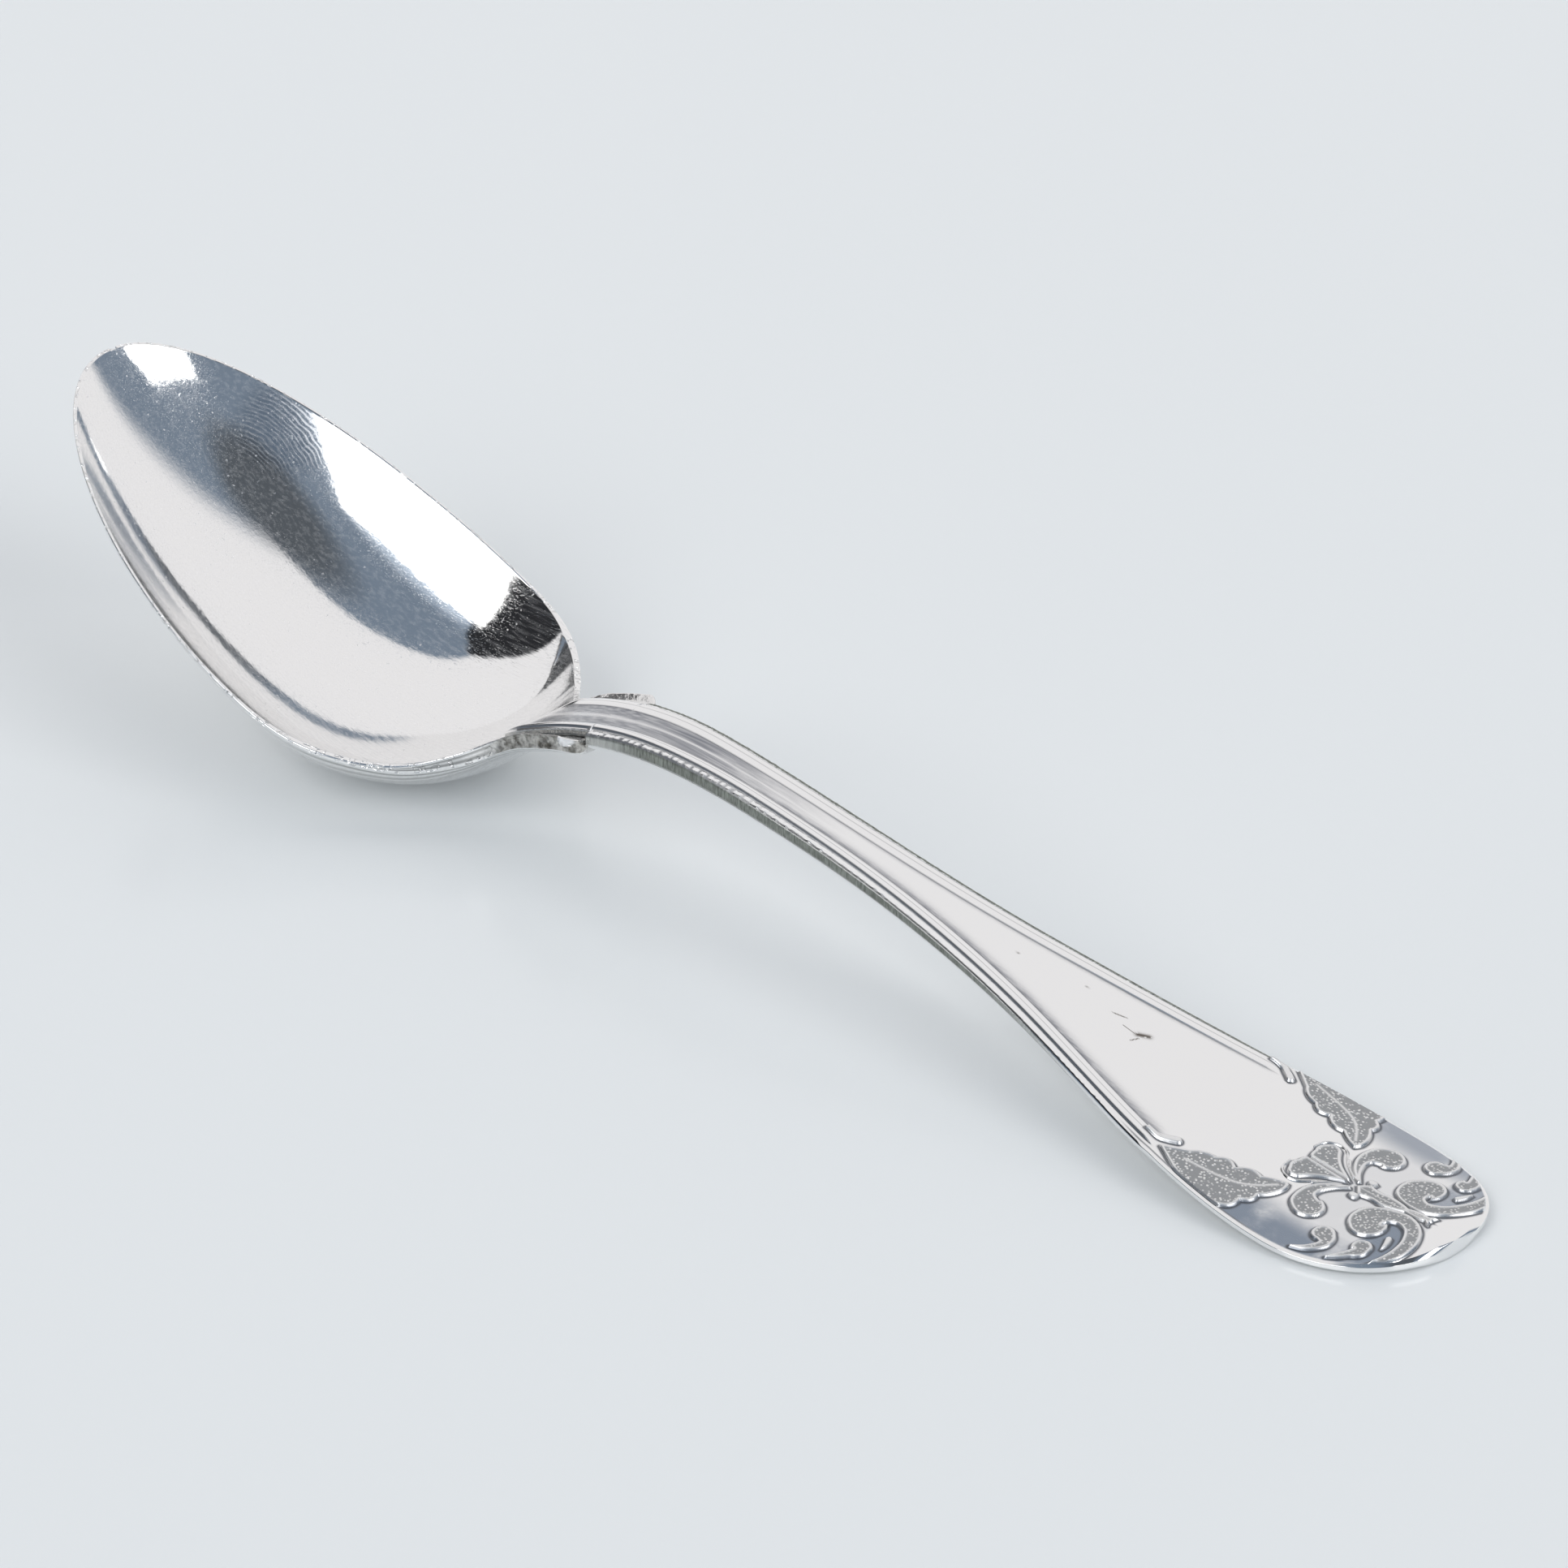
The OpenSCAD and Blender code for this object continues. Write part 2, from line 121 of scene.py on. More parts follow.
# %% [markdown]
# ## Curves that carry the shape
#
# A silversmith draws a spoon with a few long lines: the rim seen from the side, the egg seen from
# above and the keel along the bottom. Each is a formula of the station. Where two formulas meet,
# their curvature jumps, and polished metal shows every jump as a broken reflection. So the lines are
# faired, which here means averaged over a few millimetres, the way a planishing hammer evens out a
# bowl.

# %% Line helpers
def mix(a, b, t):
    return a + (b - a) * t


def ease(t):
    c = np.clip(t, 0, 1)
    return c * c * (3 - 2 * c)


def past(value, span):
    """0 before a (place, run) span, 1 behind it and smooth between. A negative run falls instead."""
    place, run = span
    return ease((value - place) / run)


def curve_through(knots, x):
    """Smooth curve through (place, height) knots, level at both ends."""
    k = np.array(knots, float)
    slopes = np.zeros(len(k))
    slopes[1:-1] = (k[2:, 1] - k[:-2, 1]) / (k[2:, 0] - k[:-2, 0])
    i = np.clip(np.searchsorted(k[:, 0], x, side="right") - 1, 0, len(k) - 2)
    run = k[i + 1, 0] - k[i, 0]
    t = np.clip((x - k[i, 0]) / run, 0, 1)
    return (k[i, 1] * (1 + 2 * t) * (1 - t) ** 2 + slopes[i] * run * t * (1 - t) ** 2
            + k[i + 1, 1] * t * t * (3 - 2 * t) + slopes[i + 1] * run * t * t * (t - 1))


def faired(line, reach, keep_before, blend=8.0, step=0.1):
    """The line averaged over "reach" millimetres, left as it is before "keep_before"."""
    table = np.arange(-4 * reach, overall_len + 4 * reach, step)
    values = line(table)
    bell = np.exp(-0.5 * (np.arange(-3 * reach, 3 * reach + step, step) / reach) ** 2)
    pad = len(bell) // 2
    smooth = np.convolve(np.pad(values, pad, mode="edge"), bell / bell.sum(), mode="same")[pad:-pad]
    values = mix(values, smooth, ease((table - keep_before) / blend))
    return lambda s: np.interp(s, table, values)


print("half way along a span, a change has reached", float(past(5.0, (0.0, 10.0))))

# %% Bowl lines
arch_power, rim_power, egg_power, heel_power = 0.62, 1.3, 1.9, 1.74
keel_run_power, keel_power, outer_heel_power, inner_heel_power = 0.95, 1.79, 2.8, 3.0
heel_lip_span = (46.0, 12.0)


def arch_raw(s):
    run = np.clip((s - dip_at) / (crest_at - dip_at), 0, 1)
    return mix(dip_h, crest_h - lap_h, ease(run ** arch_power))


def rim_raw(s):
    fall = mix(dip_h, tip_h, np.clip((dip_at - s) / dip_at, 0, 1) ** rim_power)
    return np.where(s < dip_at, fall, arch_raw(s))


def egg_raw(s, inset):
    front = np.clip((bowl_widest - s) / (bowl_widest - inset), 0, 1) ** egg_power
    back = np.cos(np.pi * np.clip((s - bowl_widest) / heel_run, 0, 1) ** heel_power)
    return np.where(s < bowl_widest, (half_bowl - inset) * np.sqrt(1 - front),
                    mix(half_tongue, half_bowl, (1 + back) / 2) - inset)


def keel_raw(s, start, top, low, end, joined, power):
    run = np.clip((s - start) / (keel_at - start), 0, 1)
    front = mix(low, top, (1 - run ** keel_run_power) ** keel_power)
    heel = mix(low, joined, np.clip((s - keel_at) / (end - keel_at), 0, 1) ** power)
    return np.where(s < keel_at, front, np.where(s < end, heel, joined + arch_raw(s) - arch_raw(end)))


def outer_keel_raw(s):
    return keel_raw(s, 0, tip_h, 0, heel_end, arch_raw(heel_end) - tongue_t, outer_heel_power)


def inner_keel_raw(s):
    joined = arch_raw(tongue_at)
    return keel_raw(s, lip_w, rim_raw(lip_w), bowl_wall, tongue_at, joined, inner_heel_power)


def inner_egg_raw(s):
    return egg_raw(s, lip_w) - (heel_lip_w - lip_w) * past(s, heel_lip_span)


print("rim is", float(rim_raw(0.0)), "mm high at the tip and", dip_h, "mm at the dip")

# %% Faired bowl lines
fair_reach, arch_reach = 2.0, 1.0
fair_from, rim_fair_from = 22.0, 40.0
near_keel = np.arange(30.0, 60.0, 0.1)
arch_line = faired(arch_raw, arch_reach, 0)
rim_line = faired(rim_raw, fair_reach, rim_fair_from)
outer_half = faired(lambda s: egg_raw(s, 0), fair_reach, fair_from)
inner_half = faired(inner_egg_raw, fair_reach, fair_from)
outer_keel = faired(outer_keel_raw, fair_reach, fair_from)
inner_keel = faired(inner_keel_raw, fair_reach, fair_from)
keel_gap = float(outer_keel(near_keel).min())
print("fairing lifts the keel by", round(keel_gap, 3), "mm, which the bowl takes back")

# %% [markdown]
# ## From rings to a mesh
#
# Both pieces are lofted: a piece is a row of closed cross sections, and each ring goes from the
# middle of the underside out to one edge, back over the top, and round the other side. A small
# function joins neighbouring rings with quads and closes both ends. A lofted mesh like this holds the
# exact curves. A subdivided box would only come near them.

# %% Ring helpers
def both_sides(left, right):
    """Whole rings from two halves that start and end on the middle plane."""
    return np.concatenate([left, right[:, -2:0:-1]], axis=1)


def skin(name, rings, flat_bands=()):
    """A closed smooth mesh through rings of points in millimetres. Flat bands keep a sharp step."""
    count, n = rings.shape[:2]
    here = np.arange(count - 1)[:, None] * n + np.arange(n)
    there = np.arange(count - 1)[:, None] * n + (np.arange(n) + 1) % n
    quads = np.stack([here, there, there + n, here + n], axis=-1).reshape(-1, 4)
    last = (count - 1) * n
    caps = [list(range(n))[::-1], list(range(last, last + n))]
    points = rings.reshape(-1, 3) - np.array([overall_len / 2, 0, 0])
    mesh = bpy.data.meshes.new(name)
    mesh.from_pydata((points * MM).tolist(), [], quads.tolist() + caps)
    smooth = np.ones(len(mesh.polygons), bool)
    smooth[-2:] = False
    for band in flat_bands:
        smooth[band * n:(band + 1) * n] = False
    mesh.polygons.foreach_set("use_smooth", smooth)
    piece = bpy.data.objects.new(name, mesh)
    bpy.context.scene.collection.objects.link(piece)
    print(name, "has", len(mesh.vertices), "points and", len(mesh.polygons), "faces")
    return piece


def paint(piece, name, values):
    """Stores one number for each point, which a material can read by its name."""
    layer = piece.data.attributes.new(name, "FLOAT", "POINT")
    layer.data.foreach_set("value", np.asarray(values, np.float32).ravel())


# %% [markdown]
# ## The bowl
#
# A raised bowl has an even wall that ends in a flat lip, whose edges are rounded by stoning and
# polishing. The lip is what catches the light as a bright line, so its roundness is modelled and not
# left to bump. The wall's section is part parabola and part fourth power: round along the keel and
# steeper near the rim. At the shoulders the tongue's edges turn up beside the handle, and their sides
# are still rough from the shears. A small round knob of metal stands out from the near side there.
# Close to the heel the outer wall and the edge of the lip carry dark strips, painted on the points as
# reflections of the surroundings.

# %% Bowl lines round the lip
wall_round, lip_round, end_soft, least_half = 0.57, 0.28, 0.3, 0.02
wing_from = half_stem + stem_flare / 2 - bevel_w + lap_bevel + wing_gap


def wall(v):
    return wall_round * v ** 2 + (1 - wall_round) * v ** 4


def wing(s, y):
    """Rise of the shoulders' edges beside the lap."""
    up = np.clip((np.abs(y) - wing_from) / (half_tongue - wing_from), 0, 1) ** 2
    return wing_rise * ease((s - tongue_at) / wing_run) * up


def rounded(before, corner, after, radius, n):
    """Points round a corner of each ring, from "radius" before it to "radius" behind it."""
    def toward(p):
        step = p - corner
        far = np.linalg.norm(step, axis=-1, keepdims=True)
        return corner + step * np.minimum(radius / np.maximum(far, 1e-6), 0.45)
    t = np.linspace(0, 1, n)[None, :, None]
    a, b, c = toward(before)[:, None], corner[:, None], toward(after)[:, None]
    return a * (1 - t) ** 2 + 2 * b * t * (1 - t) + c * t * t


def at(s, y, z):
    return np.stack(np.broadcast_arrays(s, y, z), axis=-1)


tip_stations = bowl_widest * (1 - np.cos(np.linspace(0.04, np.pi / 2, 110)))
heel_stations = np.linspace(bowl_widest, shoulder_at - shoulder_r, 130)[1:]
corner_stations = shoulder_at - shoulder_r + shoulder_r * np.sin(np.linspace(0, np.pi / 2, 16))[1:]
bowl_s = np.concatenate([tip_stations, heel_stations, corner_stations])
inner_s = np.where(bowl_s < bowl_widest, mix(lip_w, bowl_widest, bowl_s / bowl_widest), bowl_s)
past_corner = np.clip(bowl_s - shoulder_at + shoulder_r, 0, shoulder_r)
corner_in = shoulder_r - np.sqrt(shoulder_r ** 2 - past_corner ** 2)
end_round = end_soft * (corner_in / shoulder_r) ** 2
w_out = outer_half(bowl_s) - corner_in
w_in = np.maximum(inner_half(inner_s) - corner_in, least_half)
edge_t = mix(lip_edge, tongue_t, ease((bowl_s - edge_at) / (heel_end - edge_at)))
rim_out = rim_line(bowl_s) + wing(bowl_s, w_out) - end_round
rim_in = rim_line(inner_s) + wing(inner_s, w_in) - end_round
edge_low = rim_out - edge_t + 2 * end_round
print("bowl lines at", len(bowl_s), "stations")

# %% Bowl walls
wall_end, wall_points, wall_spread = 0.985, 64, 1.5
v_out = wall_end * (1 - (1 - np.linspace(0, 1, wall_points)) ** wall_spread)
v_in = np.linspace(wall_end, 0, wall_points)
low = np.minimum(outer_keel(bowl_s) - keel_gap + end_round, rim_line(bowl_s) - edge_t)
wall_top = rim_line(bowl_s) - edge_t + end_round
outer_y, inner_y = v_out * w_out[:, None], v_in * w_in[:, None]
outer_z = mix(low[:, None], wall_top[:, None], wall(v_out)) + wing(bowl_s[:, None], outer_y)
inner_top = rim_line(inner_s) - end_round
inner_floor = np.minimum(inner_keel(inner_s) - end_round, inner_top)
inner_z = mix(inner_floor[:, None], inner_top[:, None], wall(v_in)) + wing(inner_s[:, None], inner_y)
outer_wall, inner_wall = at(bowl_s[:, None], outer_y, outer_z), at(inner_s[:, None], inner_y, inner_z)
print("each wall has", wall_points, "points across half of the bowl")

# %% Lip and rough shoulder sides
ragged_depth, rough_span, rough_seed = 0.22, (70.0, 4.0), 7
edge_a, edge_b = at(bowl_s, w_out, edge_low), at(bowl_s, w_out, rim_out)
edge_c = at(inner_s, w_in, rim_in)
low_corner = rounded(outer_wall[:, -1], edge_a, edge_b, lip_round, 7)
high_corner = rounded(edge_a, edge_b, edge_c, lip_round, 8)
inner_corner = rounded(edge_b, edge_c, inner_wall[:, 0], lip_round, 8)
rng = np.random.default_rng(rough_seed)
rows = np.linspace(0, 1, 8)[None, 1:-1, None]
side = mix(low_corner[:, -1:], high_corner[:, :1], rows)
roughed = past(bowl_s, rough_span)[:, None]
side[..., 1] -= ragged_depth * roughed * rng.uniform(0, 1, side.shape[:2]) ** 2
bowl_half = np.concatenate([outer_wall, low_corner, side, high_corner, inner_corner, inner_wall],
                           axis=1)
print("rough shoulder sides from station", rough_span[0], "to", shoulder_at)

# %% Knob and bowl
knob_at, knob_r, knob_out, knob_soft = (82.9, 15.35), 0.85, 0.45, 0.25
side_share = 0.93
near_half = bowl_half * np.array([1, -1, 1])
on_side = np.abs(near_half[..., 1]) > side_share * w_out[:, None]
from_knob = np.hypot(near_half[..., 0] - knob_at[0], near_half[..., 2] - knob_at[1])
knob = np.clip(1 - (from_knob / knob_r) ** 2, 0, 1) * on_side
near_half[..., 1] -= knob_out * np.sqrt(knob)
# This mask also gives the knob a paler base colour, which is a painted highlight.
knob = ease(knob / knob_soft)
bowl = skin("bowl_skin", both_sides(bowl_half, near_half))
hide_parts("bowl")
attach(bowl, "root")

# %% Paint the bowl
corner_rows, rim_rows = 3, 10
wing_span, worn_span, worn_near, worn_far = (wing_from, 0.4), (72.0, 3.0), 0.6, 0.15
# Bands of painted dark reflection on the outer wall near the heel.
reflection_bands = [(0.965, 0.014, 1.0), (0.885, 0.028, 0.8)]
low_band_from, low_band_to, low_band_tone = (0.6, 0.2), (0.845, -0.03), 0.5
wall_strips_span, edge_strips_span = (46.0, 14.0), (44.0, 10.0)
# Tones of painted dark reflection on the rows of the lip's edge.
edge_reflection_tones = np.array([0.9, 1.0, 0.6, 0.2, 0.7, 1.0])
edge_from = outer_wall.shape[1] + low_corner.shape[1]
edge_to = edge_from + side.shape[1]
side_from, side_to = edge_from - corner_rows, edge_to + corner_rows
ragged, rim_mark, reflection_strip, inner = (np.zeros(bowl_half.shape[:2]) for _ in range(4))
ragged[:, side_from:side_to] = roughed
wing_top = past(bowl_half[..., 1], wing_span) * past(bowl_half[..., 0], worn_span)
ragged_near = ragged * (1 - knob)
ragged_near[:, side_to:] = worn_near * wing_top[:, side_to:]
ragged[:, side_to:] = worn_far * wing_top[:, side_to:]
reflection_strips = sum(tone * np.exp(-((v_out - place) / width) ** 2) for place, width, tone in reflection_bands)
reflection_strips += low_band_tone * past(v_out, low_band_to) * past(v_out, low_band_from)
reflection_strip[:, :outer_wall.shape[1]] = reflection_strips * past(bowl_s, wall_strips_span)[:, None]
reflection_strip[:, edge_from:edge_to] = edge_reflection_tones * past(bowl_s, edge_strips_span)[:, None] * (1 - roughed)
rim_mark[:, side_from:side_to + rim_rows] = 1 - roughed
inner[:, -inner_wall.shape[1]:] = 1
bowl_layers = {"ragged": (ragged, ragged_near), "rim": (rim_mark, rim_mark),
               "knob": (np.zeros(knob.shape), knob), "reflection_strip": (reflection_strip, reflection_strip), "inner": (inner, inner)}
for name, (far, near) in bowl_layers.items():
    paint(bowl, name, both_sides(far, near))
print("painted", tuple(bowl_layers))

# %% [markdown]
# ## The struck relief
#
# The end plate carries leaves, commas and scrolls that a die pressed up from the metal: each motif
# has a bright raised outline round a stippled, matted middle. Separate ribbons laid on the plate
# would look glued on. So the motifs are drawn as flat outlines, the distance from every point of the
# plate to each outline is measured, and that distance shapes one continuous surface. Places count in
# millimetres from the hub, towards the handle's end and out to the side, and both sides share one
# drawing.

# %% Outline helpers
def smooth_path(points, n):
    """Points along a smooth curve through a few chosen ones, with any further columns carried along."""
    p = np.array(points, float)
    slope = np.gradient(p, axis=0)
    t = np.linspace(0, len(p) - 1, n)
    i = np.minimum(t.astype(int), len(p) - 2)
    u = (t - i)[:, None]
    return (p[i] * (1 + 2 * u) * (1 - u) ** 2 + slope[i] * u * (1 - u) ** 2
            + p[i + 1] * u * u * (3 - 2 * u) + slope[i + 1] * u * u * (u - 1))


def comma(points, n=60):
    """Outline of a comma through (along, aside, half width) points, with a round head at the first."""
    line = smooth_path(points, n)
    run = np.gradient(line[:, :2], axis=0)
    across = np.stack([-run[:, 1], run[:, 0]], axis=1) / np.linalg.norm(run, axis=1, keepdims=True)
    middle, half = line[:, :2], line[:, 2:]
    left, rightside = middle + across * half, middle - across * half
    angle = np.arctan2(*(rightside[0] - middle[0])[::-1]) - np.linspace(0, np.pi, 14)[1:-1]
    head = middle[0] + half[0] * np.stack([np.cos(angle), np.sin(angle)], axis=1)
    return np.concatenate([left, rightside[::-1], head])


def scalloped(corners, n=9):
    """Closed outline through (along, aside, bulge) corners. A side swells by that share of its length."""
    c = np.array(corners, float)
    t = np.linspace(0, 1, n, endpoint=False)[:, None]
    sides = []
    for here, there in zip(c, np.roll(c, -1, axis=0)):
        run = there[:2] - here[:2]
        out = np.array([-run[1], run[0]]) * here[2]
        sides.append(here[:2] + run * t + out * 4 * t * (1 - t))
    return np.concatenate(sides)


def inside_distance(outline, points):
    """Distance from each point to the outline, positive inside it."""
    a, b = outline, np.roll(outline, -1, axis=0)
    run = b - a
    reach = np.full(len(points), np.inf)
    odd = np.zeros(len(points), bool)
    for p, d, q in zip(a, run, b):
        away = points - p
        t = np.clip(away @ d / max(d @ d, 1e-12), 0, 1)
        reach = np.minimum(reach, np.hypot(*(away - t[:, None] * d).T))
        crosses = (p[1] > points[:, 1]) != (q[1] > points[:, 1])
        odd ^= crosses & (away[:, 0] < (points[:, 1] - p[1]) * d[0] / (d[1] if d[1] else 1e-12))
    return np.where(odd, reach, -reach)


# %% Motifs
motifs = {
    "leaf": scalloped([(-17.2, 10.6, 0.0), (-14.7, 8.9, -0.12), (-12.3, 7.5, -0.26), (-10.0, 7.2, -0.2),
                       (-7.4, 6.2, -0.06), (-4.95, 5.0, -0.1), (-4.65, 6.5, -0.08), (-5.75, 8.75, -0.22),
                       (-6.5, 10.6, -0.2), (-7.5, 12.9, 0.0), (-10.0, 13.2, 0.0), (-13.5, 12.4, 0.0)]),
    "petal": scalloped([(-1.3, 0.16, 0.0), (-3.1, 1.2, 0.06), (-5.2, 3.4, -0.3), (-6.9, 2.8, -0.16),
                        (-7.0, 1.3, -0.06), (-6.7, 0.16, 0.0)]),
    "volute": comma([(-1.4, 6.25, 1.7), (-2.2, 5.8, 1.5), (-2.85, 4.6, 0.9), (-2.7, 3.3, 0.62),
                     (-1.9, 1.9, 0.42), (-0.6, 0.7, 0.15)]),
    "scroll": comma([(4.9, 4.6, 1.95), (4.35, 3.9, 2.0), (4.4, 2.9, 1.75), (5.4, 1.95, 1.2),
                     (7.0, 1.6, 0.95), (8.8, 2.5, 0.9), (9.95, 4.3, 0.88), (10.3, 6.2, 0.78),
                     (10.05, 8.1, 0.58), (9.3, 9.9, 0.35), (8.3, 11.2, 0.08)], 90),
    "curl_large": comma([(2.65, 8.7, 1.25), (3.35, 9.2, 1.0), (3.75, 10.0, 0.65), (3.4, 10.9, 0.5),
                         (2.6, 11.8, 0.32), (1.4, 12.5, 0.1)]),
    "curl_small": comma([(6.95, 8.05, 1.1), (7.2, 8.9, 0.85), (6.7, 9.7, 0.52), (6.1, 10.6, 0.35),
                         (5.2, 11.6, 0.1)]),
    "drop": comma([(8.1, 5.3, 0.32), (8.45, 6.2, 0.26), (8.6, 7.1, 0.06)], 20),
    "stem": scalloped([(-0.6, -0.3, 0.0), (0.6, 1.2, -0.1), (3.0, 0.95, 0.05), (6.0, 0.36, 0.06),
                       (8.6, 0.4, 0.1), (9.4, 0.85, -0.4), (9.8, -0.3, 0.0)]),
    "bead": comma([(0.3, 1.5, 0.4), (0.6, 1.5, 0.4), (0.9, 1.5, 0.28)], 12),
    "thread_end": comma([(-16.5, 8.65, 0.42), (-17.3, 9.15, 0.4), (-18.3, 9.6, 0.36),
                         (-19.8, 9.55, 0.3)]),
}
ridges = {
    "leaf_rib": smooth_path([(-14.2, 10.2), (-10.8, 9.6), (-8.4, 8.85), (-6.9, 7.7), (-5.6, 6.0)], 70),
    "halo": smooth_path([(-1.6, 0.9), (-3.4, 2.2), (-4.9, 3.85), (-6.2, 4.1), (-7.3, 3.3),
                         (-7.5, 1.9)], 70),
    "sepal": smooth_path([(-0.9, 0.75), (-2.4, 1.5), (-3.7, 2.9)], 30),
}
bright_motifs = ("thread_end", "bead", "drop")
print("relief drawn from", len(motifs), "outlines and", len(ridges), "ridge lines on each side")

# %% Relief heights
outline_w, outline_wall, sunk, strike_aside = 0.16, 0.1, 0.62, 0.6
matted_from, matted_soft = 1.6 * outline_w, 0.14
crevice_out, crevice_w = 1.5 * outline_wall, 0.14
rib_h, rib_w = 0.8, 0.14


def around(line, points):
    """Which points lie within a millimetre of the box round a line."""
    return np.all((points > line.min(axis=0) - 1) & (points < line.max(axis=0) + 1), axis=1)


def struck_relief(s, y):
    """Height, matted share, bright outline and painted crevice shade of the relief at stations s and
    places y.
    """
    points = np.stack([s - hub_at, np.abs(y - strike_aside)], axis=1)
    height, matted, bright, crevice_shade = (np.zeros(len(points)) for _ in range(4))
    for name, outline in motifs.items():
        near = around(outline, points)
        d = inside_distance(outline, points[near])
        body = ease((d + outline_wall) / (2 * outline_wall))
        rim = np.exp(-((d - outline_w) / outline_w) ** 2)
        smooth_middle = name in bright_motifs
        high = body * (1.0 if smooth_middle else mix(sunk, 1.0, rim))
        height[near] = np.maximum(height[near], high)
        middle = 0 if smooth_middle else ease((d - matted_from) / matted_soft)
        matted[near] = np.maximum(matted[near], middle)
        bright[near] = np.maximum(bright[near], body * (1.0 if smooth_middle else rim))
        # Painted shade in a thin line just outside each outline.
        crevice_shade[near] = np.maximum(crevice_shade[near], np.exp(-((d + crevice_out) / crevice_w) ** 2))
    for line in ridges.values():
        near = around(line, points)
        gap = np.full(near.sum(), np.inf)
        for p in line:
            gap = np.minimum(gap, np.hypot(*(points[near] - p).T))
        rib = rib_h * np.exp(-(gap / rib_w) ** 2)
        height[near] = np.maximum(height[near], rib)
        bright[near] = np.maximum(bright[near], rib)
        matted[near] *= 1 - rib
        crevice_shade[near] *= 1 - rib
    crevice_shade *= 1 - bright
    return height * relief_h, matted, bright, crevice_shade


print("outlines stand", relief_h, "mm above the plate, matted middles", sunk * relief_h, "mm")

# %% [markdown]
# ## The handle
#
# The handle's section has a plain field between two threads. Each thread is a raised line with a
# lower bevel outside it. Its inner flank rolls softly down into a shallow hollow beside the field,
# and all of that keeps its distance from the edge while the handle widens. So the points across a
# ring are spaced in two stretches: an even one over the field, where the relief is, and a fine one
# over the thread and the edge. The bevel of the stem was evened with a small hammer, which left a row
# of beads. The bevel is painted a shade paler as a highlight, and the gaps between the beads on the
# near side get painted shade. The beads are placed by chance, with a fixed seed, so that every run
# gives the same handle.

# %% Handle lines
nose_lead = lap_rise / 16
flare_power, spread_power, end_power, end_fullness = 1.6, 1.5, 2.2, 0.4


def flare_half(s):
    run = np.clip(stem_at - s, 0, None) / (stem_at - shoulder_at)
    return half_stem + stem_flare / 2 * run ** flare_power


def stem_half(s):
    spread = np.clip((s - stem_at) / (plate_at - stem_at), 0, 1) ** spread_power
    end = (1 - np.clip((s - plate_at) / plate_end, 0, 1) ** end_power) ** end_fullness
    body = mix(half_stem, half_plate, (1 - np.cos(np.pi * spread)) / 2)
    return np.where(s < stem_at, flare_half(s), np.where(s < plate_at, body, half_plate * end))


def lap_half(s):
    nose = np.sqrt(1 - (1 - np.clip((s - lap_at + nose_lead) / lap_rise, 0, 1)) ** 2)
    return (flare_half(s) - bevel_w + lap_bevel) * nose


back_knots = [(0, 1), (0.235, 0.859), (0.56, 0.513), (0.815, 0.187), (1.03, 0)]
back_line = [(mix(crest_at, plate_at, a), mix(plate_t, crest_h, b)) for a, b in back_knots]
back_line.append((overall_len, plate_t + end_lift))
thickness_line = [(shoulder_at, stem_t), (stem_at, stem_t), (mix(stem_at, plate_at, 0.89), plate_t),
                  (plate_at, plate_t + end_lift)]
edge_line = [(shoulder_at, stem_edge), (stem_at, stem_edge), (mix(stem_at, plate_at, 0.6), plate_edge),
             (plate_at, plate_edge)]


def handle_top_raw(s):
    lap = arch_raw(s) + seam_t + (lap_h - seam_t) * ease((s - lap_at + 2 * nose_lead) / lap_rise)
    return np.where(s > crest_at, curve_through(back_line, s), lap)


handle_fair_from = 80.0
handle_top = faired(handle_top_raw, fair_reach, handle_fair_from)


def thread_share(s, fade):
    gone = ease((s - overall_len + thread_stop + fade) / fade)
    return past(s, (lap_at, lap_rise)) * (1 - gone)


print("handle is", round(float(handle_top(crest_at)), 2), "mm high at its crest")

# %% Handle stations
end_gap, marks_from, marks_to, nose_step = 0.03, 156.0, 166.0, 0.2
lap_s = lap_at + (shoulder_at - lap_at) * (1 - np.cos(np.linspace(0, np.pi / 2, 45)))
stem_s = np.linspace(shoulder_at, marks_from, 250)[1:]
marked_s = np.linspace(marks_from, marks_to, 80)[1:]
plate_s = np.linspace(marks_to, plate_at, 220)[1:]
end_s = plate_at + (plate_end - end_gap) * np.sin(np.linspace(0, np.pi / 2, 190))[1:]
behind_s = np.concatenate([stem_s, marked_s, plate_s, end_s])
top_s = np.concatenate([lap_s, [shoulder_at + nose_step], behind_s])
under_s = np.concatenate([lap_s, [shoulder_at], behind_s])
on_lap = np.arange(len(top_s)) < len(lap_s)

half_w = np.where(on_lap, lap_half(top_s), stem_half(top_s))
w = half_w[:, None]
outline_slope = np.concatenate([np.gradient(half_w[part], top_s[part])
                                for part in (on_lap, ~on_lap)])[:, None]
print("handle has", len(top_s), "rings")

# %% Places across the handle
stem_bevel_w, bevel_span, border_spread = 0.85, (shoulder_at, 14.0), 1.2
thread_flat, flank_w, hollow_w = 0.6 * thread_w, 0.8, 0.95
bevel_most, thread_most, flank_most, hollow_most = 0.28, 0.2, 0.2, 0.24
stem_bevel = mix(bevel_w, stem_bevel_w, past(top_s, bevel_span))
bevel = np.minimum(np.where(on_lap, lap_bevel, stem_bevel)[:, None], w * bevel_most)
thread = np.minimum(thread_flat, w * thread_most)
flank, hollow = np.minimum(flank_w, w * flank_most), np.minimum(hollow_w, w * hollow_most)
field = w - bevel - thread - flank - hollow
across_field = np.linspace(0, 1, 120)[None, :]
across_border = 1 - (1 - np.linspace(0, 1, 72)[None, 1:]) ** border_spread
y = np.concatenate([field * across_field, field + (w - field) * across_border], axis=1)
s = np.broadcast_to(top_s[:, None], y.shape)
from_edge = w - y
to_outline = np.minimum(from_edge / np.sqrt(1 + outline_slope ** 2), overall_len - s)
print("half of the handle's top has", y.shape[1], "points across")

